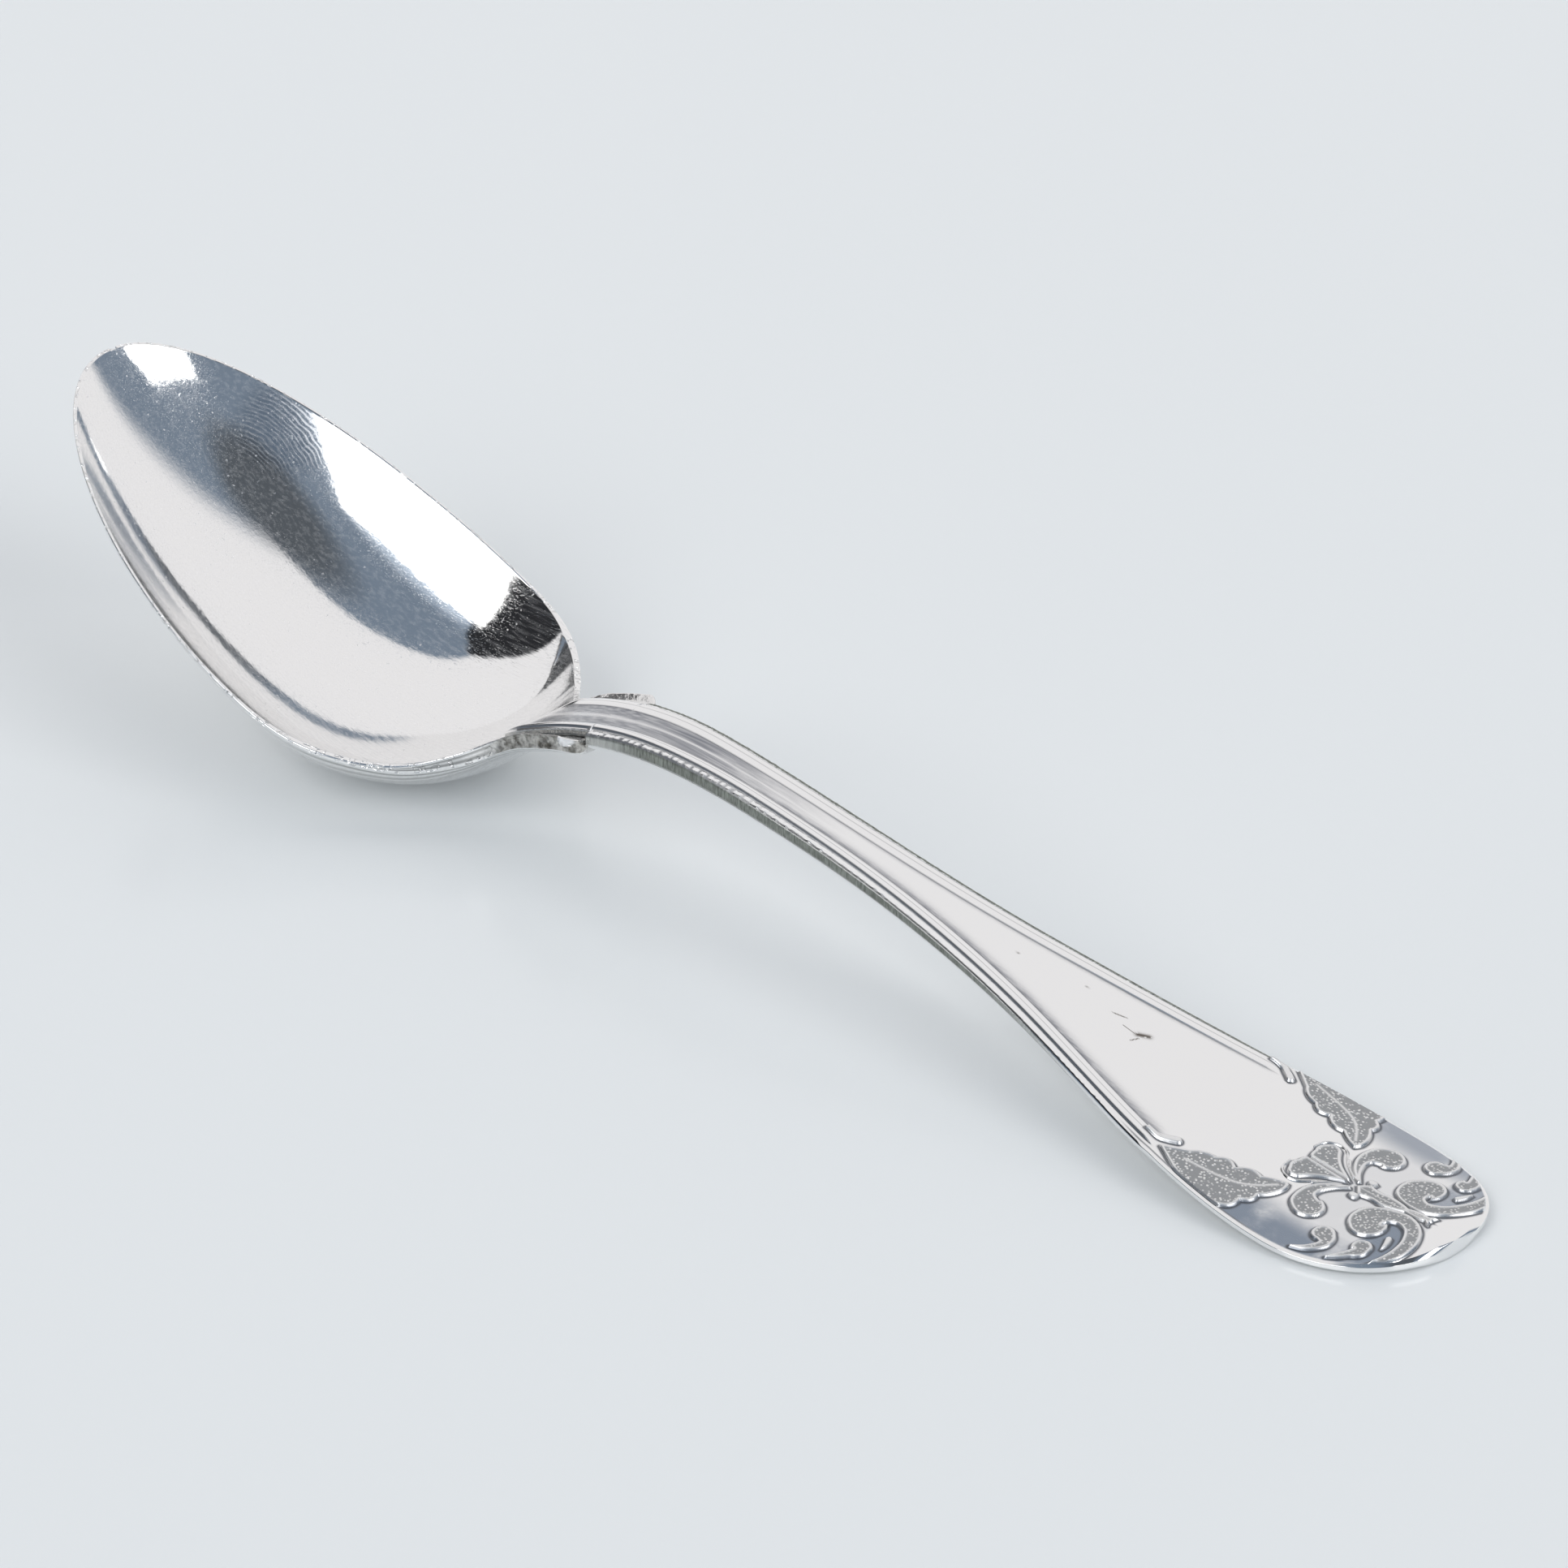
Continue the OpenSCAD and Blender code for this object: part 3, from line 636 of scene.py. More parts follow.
# %% Handle section
thread_wall, thread_crown, flank_power, hollow_d = 0.13, 0.12, 1.5, 0.15
edge_soft, edge_most, edge_least = 0.24, 0.45, 0.05
chamfer_w, chamfer_slope, chamfer_span, border_span = 0.45, 0.4, (160.0, 15.0), (0.32, 0.2)
share, hollow_share = thread_share(s, thread_fade), thread_share(s, hollow_fade)
past_bevel = from_edge - bevel
on_thread = ease(past_bevel / thread_wall + 0.5)
on_field = np.clip((past_bevel - thread) / flank, 0, 1) ** flank_power
thread_top = thread_h * (1 - thread_crown * (2 * np.clip(past_bevel / thread, 0, 1) - 1) ** 2)
field_level = hollow_d * ((1 - np.clip((past_bevel - thread - flank) / hollow, 0, 1)) ** 2 - 1)
section = mix(thread_top * on_thread * share, field_level * hollow_share, on_field)
crown = plate_crown * past(s, (stem_at, plate_at - stem_at)) * (y / w) ** 2
face = handle_top(s) - crown + section
lap_low = arch_line(under_s) + seam_t
thick = np.where(on_lap, face[:, -1] - lap_low, curve_through(edge_line, top_s))
edge_r = np.minimum(edge_soft, edge_most * np.maximum(thick, edge_least))[:, None]
edge_round = edge_r - np.sqrt(edge_r ** 2 - np.clip(edge_r - to_outline, 0, edge_r) ** 2)
chamfer = chamfer_slope * np.clip(chamfer_w - to_outline, 0, None)
edge_drop = mix(edge_round, chamfer, past(s, chamfer_span))
border = past(to_outline, border_span)
print("thread stands", thread_h, "mm above the bevel and", thread_h + hollow_d, "mm above the field")

# %% Handle underside
under_points, under_spread, under_flat, edge_set, under_soft = 26, 1.3, 0.55, 0.16, 0.3
under_t = 1 - (1 - np.linspace(0, 1, under_points)[None, :]) ** under_spread
under_y = w * under_t
rise = np.clip((under_t - under_flat) / (1 - under_flat), 0, 1) ** 2
handle_bottom = np.maximum(0, handle_top(under_s) - curve_through(thickness_line, under_s))
edge_level = handle_top(top_s) - crown[:, -1] - edge_set * share[:, -1]
under_edge = np.maximum(handle_bottom, edge_level - curve_through(edge_line, under_s))
under_from_edge = np.minimum((w - under_y) / np.sqrt(1 + outline_slope ** 2),
                             overall_len - under_s[:, None])
under_r = np.minimum(under_soft, 0.5 * edge_r + 0.02)
under_rise = under_r - np.sqrt(under_r ** 2 - np.clip(under_r - under_from_edge, 0, under_r) ** 2)
under_free = mix(handle_bottom[:, None], under_edge[:, None], rise) + under_rise
under_z = np.where(on_lap[:, None], lap_low[:, None], under_free)
print("underside has", under_points, "points across half of it")


# %% Hammered bevel
bead_len, bead_h, bead_in, bead_w = (0.28, 0.5), (0.07, 0.14), (0.34, 0.5), 0.34
bead_start, bead_stop, bead_pitch, bead_gap = 0.6, 165.0, 1.5, (0.1, 0.5)
bead_worn, worn_beads_span = 0.35, (112.0, 30.0)
gap_level, gap_reach, gap_fade_span = (0.55, -0.25), (0.75, -0.25), (96.0, 20.0)


def hammered_beads(rng):
    """Height of a row of beads along the bevel of the stem, and where painted shade goes in the gaps
    between them.
    """
    height, beads = np.zeros(s.shape), np.zeros(s.shape)
    place = shoulder_at + bead_start
    while place < bead_stop:
        length, size = rng.uniform(*bead_len), rng.uniform(*bead_h)
        size *= mix(1.0, bead_worn, past(place, worn_beads_span))
        middle = rng.uniform(*bead_in)
        near = np.abs(top_s - place) < 3 * length
        along, across = (s[near] - place) / length, (from_edge[near] - middle) / bead_w
        bump = np.exp(-along ** 2 - across ** 2)
        height[near] = np.maximum(height[near], size * bump)
        beads[near] = np.maximum(beads[near], bump)
        place += length * bead_pitch + rng.uniform(*bead_gap)
    gap_shade = past(beads, gap_level) * past(from_edge, gap_reach) * (1 - past(s, gap_fade_span))
    return height * ~on_lap[:, None], gap_shade * ~on_lap[:, None]


print("beads", bead_h, "mm high from station", shoulder_at + bead_start, "to", bead_stop)

# %% Tarnish, ground tone, wear and groove shade
strokes = [((155.2, 1.7), (156.6, 2.3), 0.08), ((157.1, 1.1), (158.7, 1.1), 0.05),
           ((159.0, 1.25), (159.9, 1.95), 0.34), ((159.2, -0.1), (159.5, 0.9), 0.07)]
pits, pit_r = [(142.9, 0.55), (150.9, 2.5)], 0.14
ground_front = [0, 1.7, 4.2, 7.7, 10.0, 12.3], [9.6, 10.0, 11.0, 10.7, 9.4, 7.0]
ground_from, ground_to, side_pocket, end_pocket = (-8.0, 1.5), (-0.4, 0.5), (6.3, 4.4), (5.0, 1.5)
beside_stem, past_petal, hub_ground, far_ground = (2.0, 1.0), (-4.0, 2.0), 0.2, 0.8
arch_from, arch_to, streak_at, streak_w, streak_tone = (lap_at + 1, 5.0), (94.0, 26.0), 0.15, 0.5, 0.35
near_groove, far_groove = (0.8, 1.0), (0.3, 0.4)


def tarnish_marks(y_true):
    mark = np.zeros(s.shape)
    for (s0, y0), (s1, y1), thick_line in strokes:
        d = np.array([s1 - s0, y1 - y0])
        t = np.clip(((s - s0) * d[0] + (y_true - y0) * d[1]) / (d @ d), 0, 1)
        gap = (s - s0 - t * d[0]) ** 2 + (y_true - y0 - t * d[1]) ** 2
        mark = np.maximum(mark, np.exp(-gap / thick_line ** 2))
    for s0, y0 in pits:
        mark = np.maximum(mark, np.exp(-((s - s0) ** 2 + (y_true - y0) ** 2) / pit_r ** 2))
    return mark


def darkened_ground(y_true, relief):
    """The ground between the motifs: pale near the hub, dark in the pockets and towards the edge."""
    along, aside = s - hub_at, np.abs(y_true - strike_aside)
    front = np.interp(aside, *ground_front)
    inside = past(along, ground_from) * (1 - past(along - front, ground_to)) * border
    dark = np.maximum(past(aside, side_pocket), past(along, end_pocket) * past(aside, beside_stem))
    dark = np.maximum(dark, hub_ground * past(along, past_petal))
    dark = dark * np.where(y_true < 0, 1.0, far_ground)
    return inside * dark * (1 - relief[1]) * (1 - relief[2])


def satin_patina_and_groove_shade(y_true):
    """Worn grey on the arch with a paler streak down the middle, and painted shade beside the threads."""
    arch = past(s, arch_from) * (1 - past(s, arch_to))
    arch *= mix(streak_tone, 1, ease(np.abs(y_true / field - streak_at) / streak_w))
    # Beside the threads this is painted shade, wider and darker on the near side.
    near = y_true < 0
    wide, deep = (np.where(near, a, b) for a, b in zip(near_groove, far_groove))
    groove = deep * np.exp(-(np.clip(past_bevel - thread - flank, 0, None) / wide) ** 2)
    return np.maximum(arch, groove) * (on_field == 1) * share


print(len(strokes), "strokes and", len(pits), "pits of tarnish on the field")

# %% Painted shade lines of the handle
groove_lines = [(0.02, 0.1, 0.9), (thread + flank, 0.09, 0.6), (thread, 0.06, 0.4)]
plate_line_at, plate_line_w, plate_line_tone = 0.42, 0.08, 0.8
plate_line_from, plate_line_to, gap_shade_tone = (166.0, 4.0), (184.0, 5.0), 0.9


def painted_shade_lines(side, gap_shade):
    """Painted shade in the grooves beside the threads, and on the near side in the gaps between the beads
    and along a line inside the plate's edge.
    """
    grooves = sum(tone * np.exp(-((past_bevel - place) / width) ** 2)
                  for place, width, tone in groove_lines)
    plate_line = plate_line_tone * np.exp(-((to_outline - plate_line_at) / plate_line_w) ** 2)
    plate_line *= past(s, plate_line_from) * (1 - past(s, plate_line_to))
    return np.clip(grooves, 0, 1) * share + (gap_shade_tone * gap_shade + plate_line) * (side < 0)


print(len(groove_lines), "dark lines along each thread")

# %% Handle
layer_names = ("matted", "outline", "crevice_shade", "ground", "hammered_and_highlight", "side", "patina_and_groove_shade", "mark")
bevel_tilt, relief_reach = {1: 0.03, -1: 0.22}, 21.0
side_start, side_span, plate_span = 0.5, (shoulder_at, 9.0), (140.0, 25.0)
rolled_span, far_edge_span = (0.35, 0.5), (0.6, -0.15)


def handle_side(side, seed):
    """Half rings of one side, and the marks for the material on their points."""
    y_true = side * y
    plate = s > hub_at - relief_reach
    relief = [np.zeros(s.shape) for _ in range(4)]
    for layer, values in zip(relief, struck_relief(s[plate], y_true[plate])):
        layer[plate] = values
    relief = [layer * border for layer in relief]
    beads, gap_shade = hammered_beads(np.random.default_rng(seed))
    top_z = face + relief[0] + beads - edge_drop + bevel_tilt[side] * np.minimum(past_bevel, 0) * share
    rows = np.array([0.2, 0.4, 0.6, 0.8])[None, :]
    side_z = mix(under_z[:, -1:], top_z[:, -1:], rows)
    side_s = mix(under_s, top_s, 0.5)[:, None]
    points = np.concatenate([at(under_s[:, None], side * under_y, under_z),
                             at(side_s, side * w, side_z),
                             at(s, y_true, top_z)[:, ::-1]], axis=1)
    off_plate = 1 - past(top_s[:, None], plate_span)
    plain_side = mix(side_start, 1, past(top_s[:, None], side_span)) * off_plate
    # Painted dark reflections: the lower half of each rounded top edge and the outer part of the far
    # bevel.
    rolled_edge_reflection = past(edge_round / edge_r, rolled_span) * plain_side
    behind_lap = share * ~on_lap[:, None]
    far_edge_reflection = past(from_edge, far_edge_span) * behind_lap * (side > 0)
    # The bevel layer marks the hammered bevel and paints it a shade paler as a highlight.
    top_layers = (relief[1], relief[2], np.clip(np.maximum(relief[3], painted_shade_lines(side, gap_shade)), 0, 1),
                  darkened_ground(y_true, relief), (1 - on_thread) * behind_lap * off_plate,
                  np.maximum(rolled_edge_reflection, far_edge_reflection), satin_patina_and_groove_shade(y_true), tarnish_marks(y_true))
    layers = {}
    for name, values in zip(layer_names, top_layers):
        rest = np.zeros((len(s), under_y.shape[1] + rows.size))
        if name == "side":
            rest[:, -rows.size:] = plain_side
        layers[name] = np.concatenate([rest, values[:, ::-1]], axis=1)
    return points, layers


far_seed, near_seed = 11, 12
left_points, left_layers = handle_side(1, far_seed)
right_points, right_layers = handle_side(-1, near_seed)
handle = skin("handle_skin", both_sides(left_points, right_points), flat_bands=[len(lap_s) - 1])
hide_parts("handle", "handle_relief")
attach(handle, "root")

# %% [markdown]
# ## Marks for the materials
#
# The finish changes from place to place: matted middles, bright outlines, painted shade in crevices,
# grooves and bead gaps, a blue-grey ground round the scrolls, hammered bevels painted a shade paler as
# a highlight, rough sides with painted dark reflections along their edges, worn grey on the arch and a
# few tarnish marks on the field. All of these follow the shape, so each is stored on the points as a
# number from 0 to 1. That survives any camera move, which a projected picture would not.

# %% Paint the handle
for name in layer_names:
    paint(handle, name, both_sides(left_layers[name], right_layers[name]))
print("painted", layer_names)

# %% [markdown]
# ## The solder seam
#
# Hard solder fills the lap between tongue and handle. Only its edge shows, as a thin line under the
# handle's nose and along its sides, so a thin plate with the handle's outline is enough. It is drawn
# with the same stations, so that its edge stays flush.

# %% Solder seam
seam_bulge = 0.03
seam_s, seam_w = lap_s[:, None], lap_half(lap_s)[:, None]
seam_low, seam_high = arch_line(seam_s), arch_line(seam_s) + seam_t
seam_across = np.linspace(0, 1, 12)
seam_halves = np.concatenate([
    at(seam_s, seam_w * seam_across, seam_low),
    at(seam_s, seam_w + seam_bulge, mix(seam_low, seam_high, 0.5)),
    at(seam_s, seam_w * seam_across[::-1], seam_high)], axis=1)
seam = skin("seam_skin", both_sides(seam_halves, seam_halves * np.array([1, -1, 1])))
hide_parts("solder_seam")
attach(seam, "root")

# %% [markdown]
# ## Polished silver
#
# Polished silver is nearly a mirror, so its look comes from what it reflects and from small faults:
# hairline scratches from years of wiping, soft smudges, and places where the polish is dull. The base
# colour stays pale and warm. The hairlines are noise stretched a hundredfold in several directions,
# which gives lines that start and stop, unlike a wave pattern. A thin rough coat follows the brushing
# marks, so that they catch light over the dark reflections. A finger mark near the tip is rings of
# noise round a point, kept to the inside of the bowl by a painted layer.

# %% Material helpers
def new_material(name):
    material = bpy.data.materials.new(name)
    material.use_nodes = True
    tree = material.node_tree
    return material, tree, tree.nodes["Principled BSDF"]


def node(tree, kind, inputs=(), **settings):
    """Adds a node, sets its properties, and sets or links its inputs."""
    made = tree.nodes.new(kind)
    for key, value in settings.items():
        setattr(made, key, value)
    for key, value in dict(inputs).items():
        if isinstance(value, bpy.types.NodeSocket):
            tree.links.new(value, made.inputs[key])
        else:
            made.inputs[key].default_value = value
    return made


def new_metal(name):
    """A metal's material, its node tree and shader, and the places on the object."""
    material, tree, shader = new_material(name)
    shader.inputs["Metallic"].default_value = 1.0
    return material, tree, shader, places(tree)


def places(tree):
    return node(tree, "ShaderNodeTexCoord").outputs["Object"]


def painted(tree, name):
    return node(tree, "ShaderNodeAttribute", attribute_name=name).outputs["Fac"]


def math(tree, operation, a, b=0.0, third=0.0):
    return node(tree, "ShaderNodeMath", {0: a, 1: b, 2: third}, operation=operation).outputs[0]


def product(tree, a, b):
    return math(tree, "MULTIPLY", a, b)


def sum_of(tree, base, *parts):
    """A base value plus each (socket, amount) product."""
    total = base
    for socket, amount in parts:
        total = math(tree, "MULTIPLY_ADD", socket, amount, third=total)
    return total


def blend_colour(tree, factor, a, b):
    made = node(tree, "ShaderNodeMix", {"Factor": factor}, data_type="RGBA")
    for key, value in ((6, a), (7, b)):
        if isinstance(value, bpy.types.NodeSocket):
            tree.links.new(value, made.inputs[key])
        else:
            made.inputs[key].default_value = (*value, 1)
    return made.outputs[2]


# %% Pattern helpers
def ramp(tree, value, low, high):
    """0 below low, 1 above high, and a smooth step between."""
    return node(tree, "ShaderNodeMapRange", {"Value": value, "From Min": low, "From Max": high},
                interpolation_type="SMOOTHSTEP").outputs[0]


def noise(tree, place, scale, detail=3.0, roughness=0.55):
    return node(tree, "ShaderNodeTexNoise", {"Vector": place, "Scale": scale, "Detail": detail,
                                             "Roughness": roughness}).outputs["Fac"]


def stretched(tree, place, scale, rotation=(0.0, 0.0, 0.0)):
    return node(tree, "ShaderNodeMapping", {"Vector": place, "Rotation": rotation,
                                            "Scale": scale}).outputs[0]


def distance_to(tree, place, point):
    return node(tree, "ShaderNodeVectorMath", {0: place, 1: point},
                operation="DISTANCE").outputs["Value"]


def hairlines(tree, place, angles, fineness):
    """Short fine scratches in several directions."""
    lines = None
    for angle in angles:
        turned = stretched(tree, place, (60.0, fineness, fineness), (0.3 * angle, 0.2, angle))
        line = ramp(tree, noise(tree, turned, 1.0, 2.0), 0.66, 0.74)
        lines = line if lines is None else math(tree, "MAXIMUM", lines, line)
    return lines


def bumped(tree, height, strength, distance, under=None, cut_in=False):
    """Normal of a bump of a size in metres, over another normal if there is one."""
    inputs = {"Height": height, "Strength": strength, "Distance": distance}
    if under is not None:
        inputs["Normal"] = under
    return node(tree, "ShaderNodeBump", inputs, invert=cut_in).outputs[0]


silver_pale = (0.93, 0.925, 0.92)
print("finishes start from pale silver", silver_pale)

# %% Bowl finish, patterns
thumb_at, thumb_r, thumb_core = (-0.0865, 0.0135, 0.0235), 0.0072, 0.004
whorl_at, ridge_pitch, ridge_wobble = (-0.0865, 0.002, 0.018), 0.00048, 0.0012
brush_stretch, brush_turn = (30.0, 2600.0, 2600.0), (0.0, 0.0, 0.12)
bowl_silver, tree, shader, place = new_metal("bowl_silver")
ragged_mark, rim_line_mark, knob_mark, reflection_strip_mark, inner_mark = (
    painted(tree, name) for name in bowl_layers)
smudge = ramp(tree, noise(tree, place, 55.0, 4.0), 0.42, 0.68)
scratches = hairlines(tree, place, (0.05, 0.3, -0.2), 11000.0)
grain = noise(tree, place, 950.0, 3.0, 0.6)
nicks = ramp(tree, noise(tree, place, 900.0, 2.0), 0.52, 0.6)
brush = noise(tree, stretched(tree, place, brush_stretch, brush_turn), 1.0, 3.0, 0.6)
brushed, lit_hairs = ramp(tree, brush, 0.35, 0.75), ramp(tree, brush, 0.46, 0.64)
specks = ramp(tree, noise(tree, place, 2300.0, 0.0), 0.79, 0.83)
from_whorl = sum_of(tree, distance_to(tree, place, whorl_at),
                    (noise(tree, place, 300.0, 1.0), ridge_wobble))
ridge = math(tree, "SINE", product(tree, from_whorl, 2 * np.pi / ridge_pitch))
near_thumb = ramp(tree, distance_to(tree, place, thumb_at), thumb_r, thumb_core)
thumb_area = product(tree, inner_mark, near_thumb)
thumb = product(tree, thumb_area, ramp(tree, ridge, -0.2, 0.8))
print("bowl patterns:", len(tree.nodes), "nodes")

# %% Bowl finish, shader
# The strip grey is a painted dark reflection.
knob_highlight_pale, thumb_grey, reflection_strip_grey = (0.97, 0.97, 0.97), (0.56, 0.58, 0.61), (0.26, 0.265, 0.26)
shear_dark, shear_pale = (0.13, 0.12, 0.10), (0.70, 0.68, 0.64)
worn = blend_colour(tree, ramp(tree, grain, 0.3, 0.7), shear_dark, shear_pale)
colour = silver_pale
# The knob's paler tone is a painted highlight.
for share_of_tone, tone in ((product(tree, thumb_area, 0.8), thumb_grey),
                            (product(tree, reflection_strip_mark, 0.9), reflection_strip_grey),
                            (ragged_mark, worn), (knob_mark, knob_highlight_pale)):
    colour = blend_colour(tree, share_of_tone, colour, tone)
tree.links.new(colour, shader.inputs["Base Color"])
dull = sum_of(tree, 0.03, (smudge, 0.03), (brushed, 0.05), (knob_mark, 0.45), (scratches, 0.07),
              (specks, 0.25), (thumb, 0.16), (ragged_mark, 0.35), (rim_line_mark, 0.08))
tree.links.new(dull, shader.inputs["Roughness"])
coat = sum_of(tree, 0.05, (lit_hairs, 0.9), (thumb, 0.5))
tree.links.new(coat, shader.inputs["Coat Weight"])
shader.inputs["Coat Roughness"].default_value = 0.75
shader.inputs["Coat IOR"].default_value = 2.1
normal = bumped(tree, noise(tree, place, 70.0, 1.0), 0.02, 0.001)
normal = bumped(tree, math(tree, "ADD", scratches, brushed), 0.2, 0.00001, normal, cut_in=True)
normal = bumped(tree, product(tree, nicks, rim_line_mark), 0.9, 0.00015, normal, cut_in=True)
normal = bumped(tree, product(tree, grain, ragged_mark), 0.9, 0.0004, normal)
tree.links.new(normal, shader.inputs["Normal"])
bowl.data.materials.append(bowl_silver)
print("bowl finish:", len(tree.nodes), "nodes")

# %% [markdown]
# ## Struck and matted silver
#
# One material covers the handle and reads the painted marks. A matted middle is stippled with a
# punch, so it scatters light and looks grey with bright dots. Crevices, the grooves beside the threads
# and the gaps between the beads get painted shade. The ground round the scrolls has a blue-grey tone,
# darker in its pockets, towards the edge and on the near side. The arch, which a hand rubs, is satin.
# The hammered bevel is painted a shade paler as a highlight. The sides were only filed, so they are
# dark, rough and streaked across, and the lower half of each rounded top edge and the outer part of
# the far bevel carry painted dark reflections.

# %% Handle finish, colour
ground_blue_grey, satin_and_shade_grey, stain_brown = (0.27, 0.315, 0.38), (0.24, 0.25, 0.28), (0.13, 0.11, 0.09)
matted_dark, matted_pale = (0.36, 0.37, 0.38), (0.93, 0.92, 0.91)
# The crevice tone is painted shade, and the bead tone is a painted highlight.
outline_pale, bevel_highlight_pale, crevice_shade_tone = (0.88, 0.875, 0.87), (0.97, 0.97, 0.965), (0.15, 0.16, 0.18)
filed_dark, filed_pale = (0.16, 0.17, 0.15), (0.42, 0.44, 0.40)
rub_stretch, file_stretch, punch_scale = (90.0, 2600.0, 2600.0), (4200.0, 300.0, 700.0), 2600.0
handle_silver, tree, shader, place = new_metal("handle_silver")
mark_of = {name: painted(tree, name) for name in layer_names}
cloud = noise(tree, place, 170.0, 4.0, 0.6)
cells = node(tree, "ShaderNodeTexVoronoi", {"Vector": place, "Scale": punch_scale}).outputs["Distance"]
dots = math(tree, "SUBTRACT", 1.0, ramp(tree, cells, 0.18, 0.5))
rubbed = ramp(tree, noise(tree, stretched(tree, place, rub_stretch), 1.0, 3.0), 0.25, 0.7)
filed = noise(tree, stretched(tree, place, file_stretch), 1.0, 4.0, 0.65)
# A blue-grey tone on the ground between the motifs, darker in the pockets, towards the edge and on the
# near side.
ground_darkening = product(tree, mark_of["ground"], ramp(tree, cloud, 0.1, 0.5))
# Worn satin grey on the arch, and painted shade beside the threads.
satin_and_shade = product(tree, mark_of["patina_and_groove_shade"], sum_of(tree, 0.55, (rubbed, 0.45)))
stain = product(tree, mark_of["mark"], ramp(tree, noise(tree, place, 2200.0, 2.0), 0.3, 0.45))
matted_tone = blend_colour(tree, dots, matted_dark, matted_pale)
side_tone = blend_colour(tree, ramp(tree, filed, 0.25, 0.75), filed_dark, filed_pale)
colour = silver_pale
for share_of_tone, tone in ((ground_darkening, ground_blue_grey), (satin_and_shade, satin_and_shade_grey), (mark_of["matted"], matted_tone),
                            (mark_of["outline"], outline_pale), (mark_of["hammered_and_highlight"], bevel_highlight_pale),
                            (mark_of["crevice_shade"], crevice_shade_tone), (mark_of["side"], side_tone),
                            (stain, stain_brown)):
    colour = blend_colour(tree, share_of_tone, colour, tone)
tree.links.new(colour, shader.inputs["Base Color"])
print("handle colour:", len(tree.nodes), "nodes")

# %% Handle finish, polish and bumps
dullness = {"matted": 0.34, "outline": 0.36, "ground": 0.12, "crevice_shade": 0.3, "hammered_and_highlight": 0.12,
            "side": 0.36, "patina_and_groove_shade": 0.2, "mark": 0.4}
scratches = hairlines(tree, place, (0.1, 0.9, 2.0), 7000.0)
dull = sum_of(tree, 0.09, (scratches, 0.08), *((mark_of[name], dullness[name]) for name in dullness))
tree.links.new(dull, shader.inputs["Roughness"])
normal = bumped(tree, product(tree, dots, mark_of["matted"]), 0.8, 0.0001)
normal = bumped(tree, product(tree, filed, mark_of["side"]), 0.7, 0.0003, normal)
tree.links.new(normal, shader.inputs["Normal"])
handle.data.materials.append(handle_silver)
print("handle finish:", len(tree.nodes), "nodes")

# %% [markdown]
# ## Filed solder
#
# Hard solder holds less silver than the pieces it joins, so it is a shade greyer. Its edge was only
# filed flush, which leaves a dull grain. A little noise in the colour and the roughness is enough for
# such a thin line.

# %% Solder finish
solder_dark, solder_pale = (0.34, 0.34, 0.33), (0.62, 0.61, 0.58)
seam_silver, tree, shader, place = new_metal("seam_silver")
grain = ramp(tree, noise(tree, place, 900.0), 0.35, 0.7)
tree.links.new(blend_colour(tree, grain, solder_dark, solder_pale), shader.inputs["Base Color"])
tree.links.new(sum_of(tree, 0.3, (grain, 0.2)), shader.inputs["Roughness"])
seam.data.materials.append(seam_silver)
print("solder finish:", len(tree.nodes), "nodes")

# %% [markdown]
# ## The studio
#
# Polished metal shows its room, so the room is part of the look. Behind the spoon stands a wide pale
# sweep. The camera's side is a dim blue-grey room with three softboxes, which give the bowl its white
# patches. Two of them stand edge to edge as one bent bank with a soft glow round it, and one high
# corner of the room stays darker. Photographers of silver also hang black flags, because a mirror
# needs something dark to show its edges: a wide one over the heel and a low one beside it. The near
# wall of the bowl also mirrors its own far rim, which draws the long dark arc there without any help.
# All of the panels are far away compared with the spoon's size, so they can be a world made from the
# direction alone. Each panel is the part of the sky between a few corner headings, which have to go
# round it without a dent.

# %% Directions
def heading_of(azimuth, elevation):
    """Unit vector of a heading, where 0 is +Y and 90 is +X."""
    a, e = np.radians(azimuth), np.radians(elevation)
    return np.array([np.sin(a) * np.cos(e), np.cos(a) * np.cos(e), np.sin(e)])


world = bpy.data.worlds.new("studio")
world.use_nodes = True
bpy.context.scene.world = world
tree = world.node_tree
look = node(tree, "ShaderNodeTexCoord").outputs["Generated"]


def toward(way):
    return node(tree, "ShaderNodeVectorMath", {0: look, 1: tuple(way)},
                operation="DOT_PRODUCT").outputs["Value"]


def side_of(way, soft):
    """1 on the side of a plane that a direction points to, with a soft edge in degrees."""
    return ramp(tree, toward(way), -np.sin(np.radians(soft)), np.sin(np.radians(soft)))


def between_degrees(way, low, high, wave):
    """0 to 1 as a direction's share of a way goes from one angle to another."""
    return ramp(tree, toward(way), wave(np.radians(low)), wave(np.radians(high)))


def panel(corners, soft):
    """1 between the corner headings of a flat panel, which go round it in order."""
    ways = [heading_of(*corner) for corner in corners]
    inside = None
    for here, there in zip(ways, ways[1:] + ways[:1]):
        normal = np.cross(here, there)
        normal *= np.sign(normal @ sum(ways)) / np.linalg.norm(normal)
        edge = side_of(normal, soft)
        inside = edge if inside is None else product(tree, inside, edge)
    return inside


print("world starts with", len(tree.nodes), "nodes")

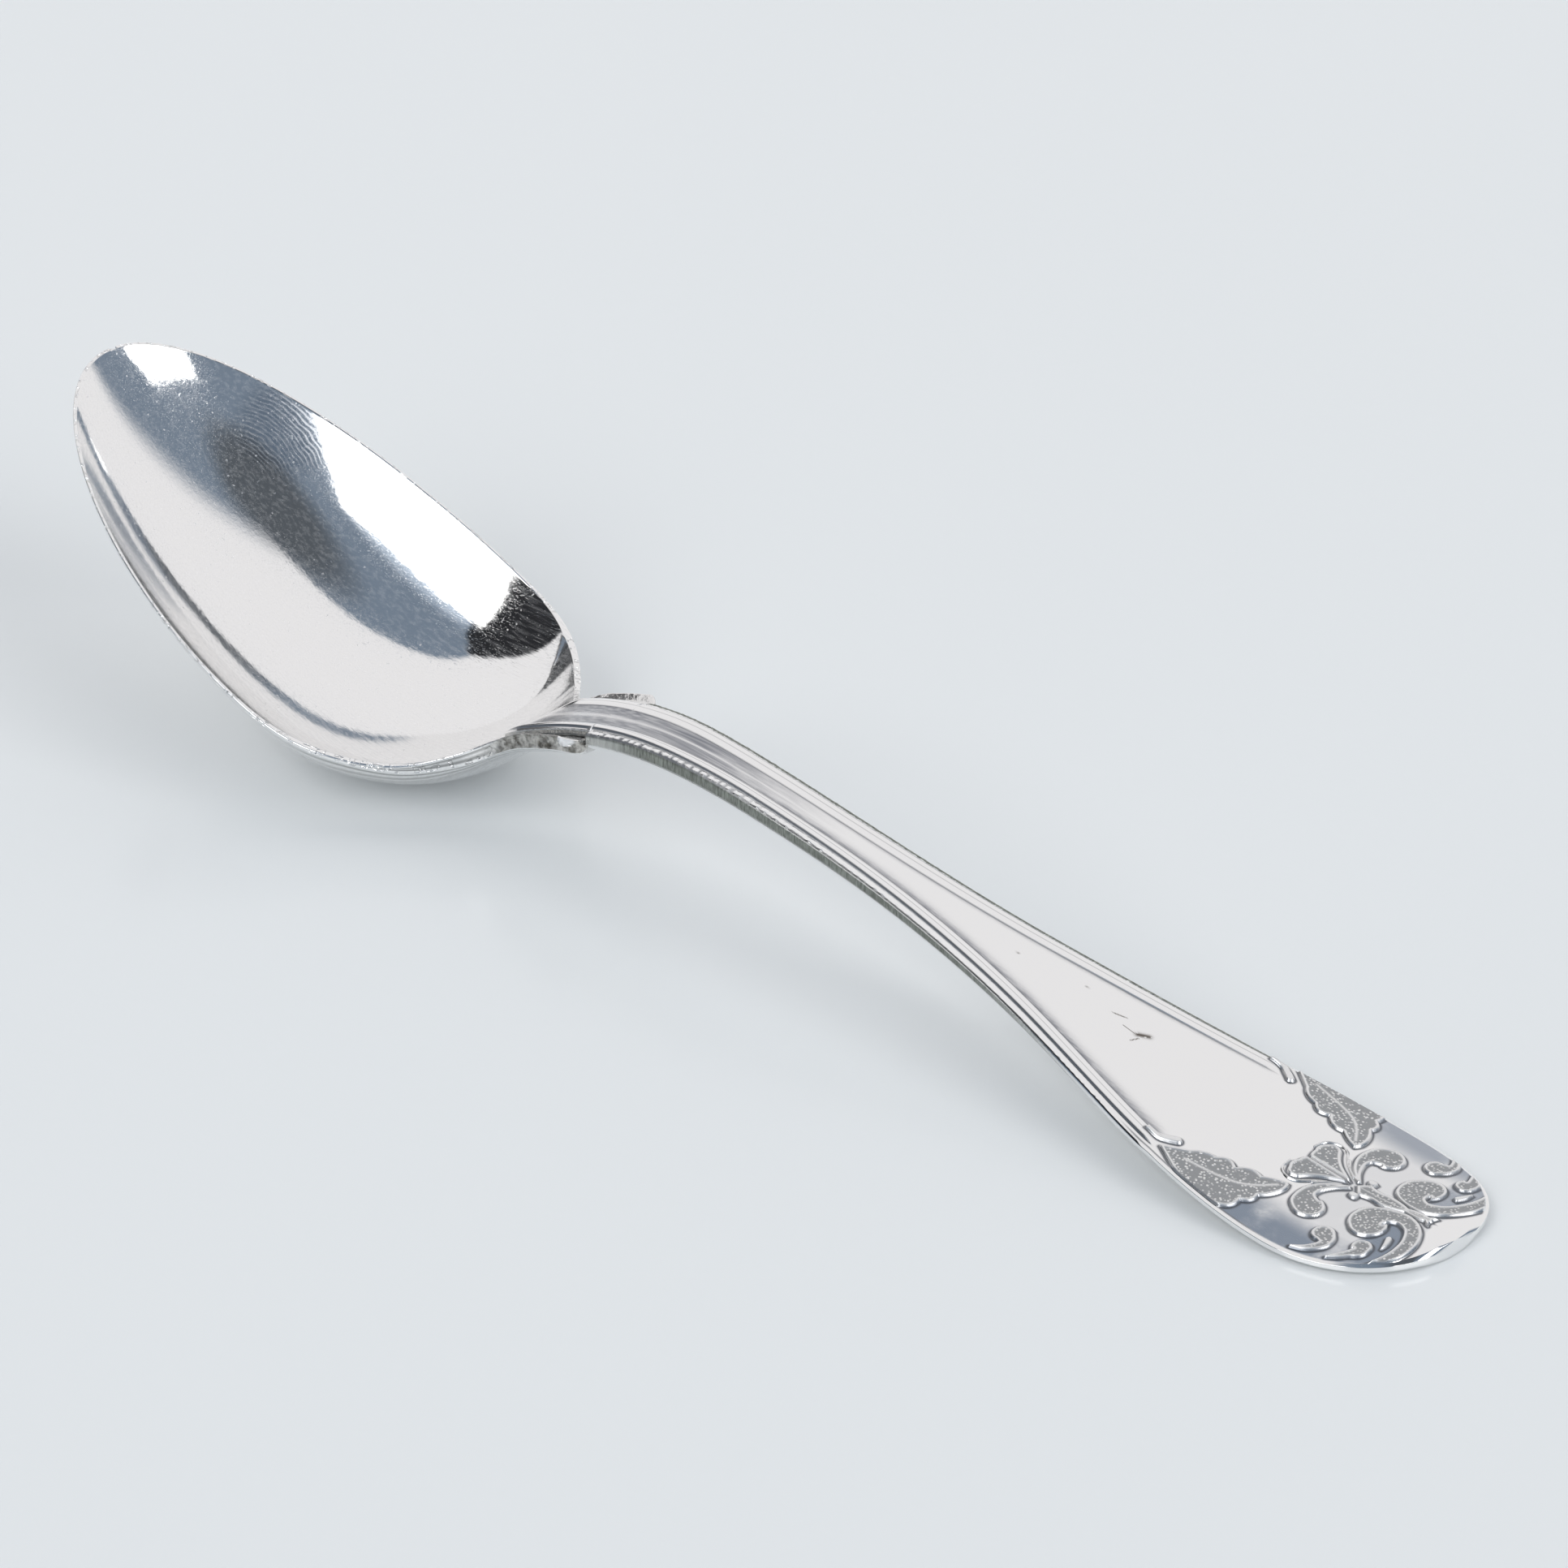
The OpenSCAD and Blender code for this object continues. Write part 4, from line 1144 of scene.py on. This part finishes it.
# %% Panels of the room
pale = (0.84, 0.835, 0.845)
dim, dim_blue, glow = (0.088, 0.1, 0.115), (0.175, 0.222, 0.285), (0.62, 0.72, 0.85)
black, grey = (0.02, 0.021, 0.024), (0.1, 0.1, 0.103)
softbox_light = (3.2, 3.2, 3.2)
sweep = product(tree, side_of(heading_of(-67.5, 9.7), 4.0), side_of(heading_of(-23.8, 3.6), 1.5))
ceiling = panel([(60, 50), (27, 75), (-40, 81.5), (-98, 73), (-119, 66), (180, 40)], 1.5)
heel_flag = panel([(-167, 22), (-156, 50), (-150, 61), (-121, 67), (-114, 22)], 1.0)
low_flag = panel([(-118, 27.5), (-98, 26.5), (-79, 27.5), (-79, 3), (-118, 3)], 0.5)
softbox_left = panel([(157.5, 18), (151.5, 55.5), (172, 55.5), (178, 20)], 0.7)
softbox_middle = panel([(176, 18), (170, 56), (-147, 56), (-161.5, 20)], 0.7)
softbox_glow = panel([(157, 18), (152.5, 55), (-147, 60), (-159, 20)], 5.0)
softbox_right = panel([(72, 12), (52, 37), (54, 43.5), (70, 46.5), (99, 45), (105, 38), (109, 12)], 0.7)
softboxes = math(tree, "MAXIMUM", math(tree, "MAXIMUM", softbox_left, softbox_middle), softbox_right)
dark_corner = product(tree, between_degrees(heading_of(85, 62), 26, 12, np.cos),
                      between_degrees((0, 0, 1), 51.5, 58, np.sin))
open_sweep = product(tree, sweep, math(tree, "SUBTRACT", 1.0, ceiling))
seen = node(tree, "ShaderNodeLightPath").outputs["Is Camera Ray"]
room = dim_blue
for where, tone in ((dark_corner, dim), (softbox_glow, glow), (open_sweep, pale), (heel_flag, black),
                    (low_flag, grey), (softboxes, softbox_light), (seen, pale)):
    room = blend_colour(tree, where, room, tone)
tree.links.new(room, tree.nodes["Background"].inputs["Color"])
print("world:", len(tree.nodes), "nodes")

# %% [markdown]
# ## The floor
#
# The spoon lies on a plain pale top with a faint gloss, so that its shadow and a weak mirror image
# tie it to the surface. A large plane is enough.

# %% Floor
floor_size, floor_gap, floor_glow = 6.0, 0.0001, 0.062
floor_low, floor_high, glow_tone = (0.785, 0.81, 0.82), (0.805, 0.83, 0.84), (0.95, 1.0, 1.0, 1)
floor_mesh = bpy.data.meshes.new("floor")
half = floor_size / 2
corners = [(-half, -half, 0), (half, -half, 0), (half, half, 0), (-half, half, 0)]
floor_mesh.from_pydata(corners, [], [(0, 1, 2, 3)])
floor = bpy.data.objects.new("floor", floor_mesh)
floor.location.z = -floor_gap
bpy.context.scene.collection.objects.link(floor)
floor_finish, tree, shader = new_material("floor_finish")
tone = blend_colour(tree, noise(tree, places(tree), 5.0, 2.0), floor_low, floor_high)
tree.links.new(tone, shader.inputs["Base Color"])
paths = node(tree, "ShaderNodeLightPath").outputs
shown = math(tree, "MAXIMUM", paths["Is Camera Ray"], paths["Is Glossy Ray"])
shown = math(tree, "MAXIMUM", shown, paths["Is Transmission Ray"])
shader.inputs["Emission Color"].default_value = glow_tone
tree.links.new(product(tree, shown, floor_glow), shader.inputs["Emission Strength"])
shader.inputs["Roughness"].default_value = 0.2
shader.inputs["Specular IOR Level"].default_value = 0.35
floor_mesh.materials.append(floor_finish)
print("floor", floor_size, "m wide,", len(tree.nodes), "nodes")

# %% [markdown]
# ## Finish
#
# The last cell sets the plain view transform.

# %% Finish
bpy.context.scene.view_settings.view_transform = "Standard"
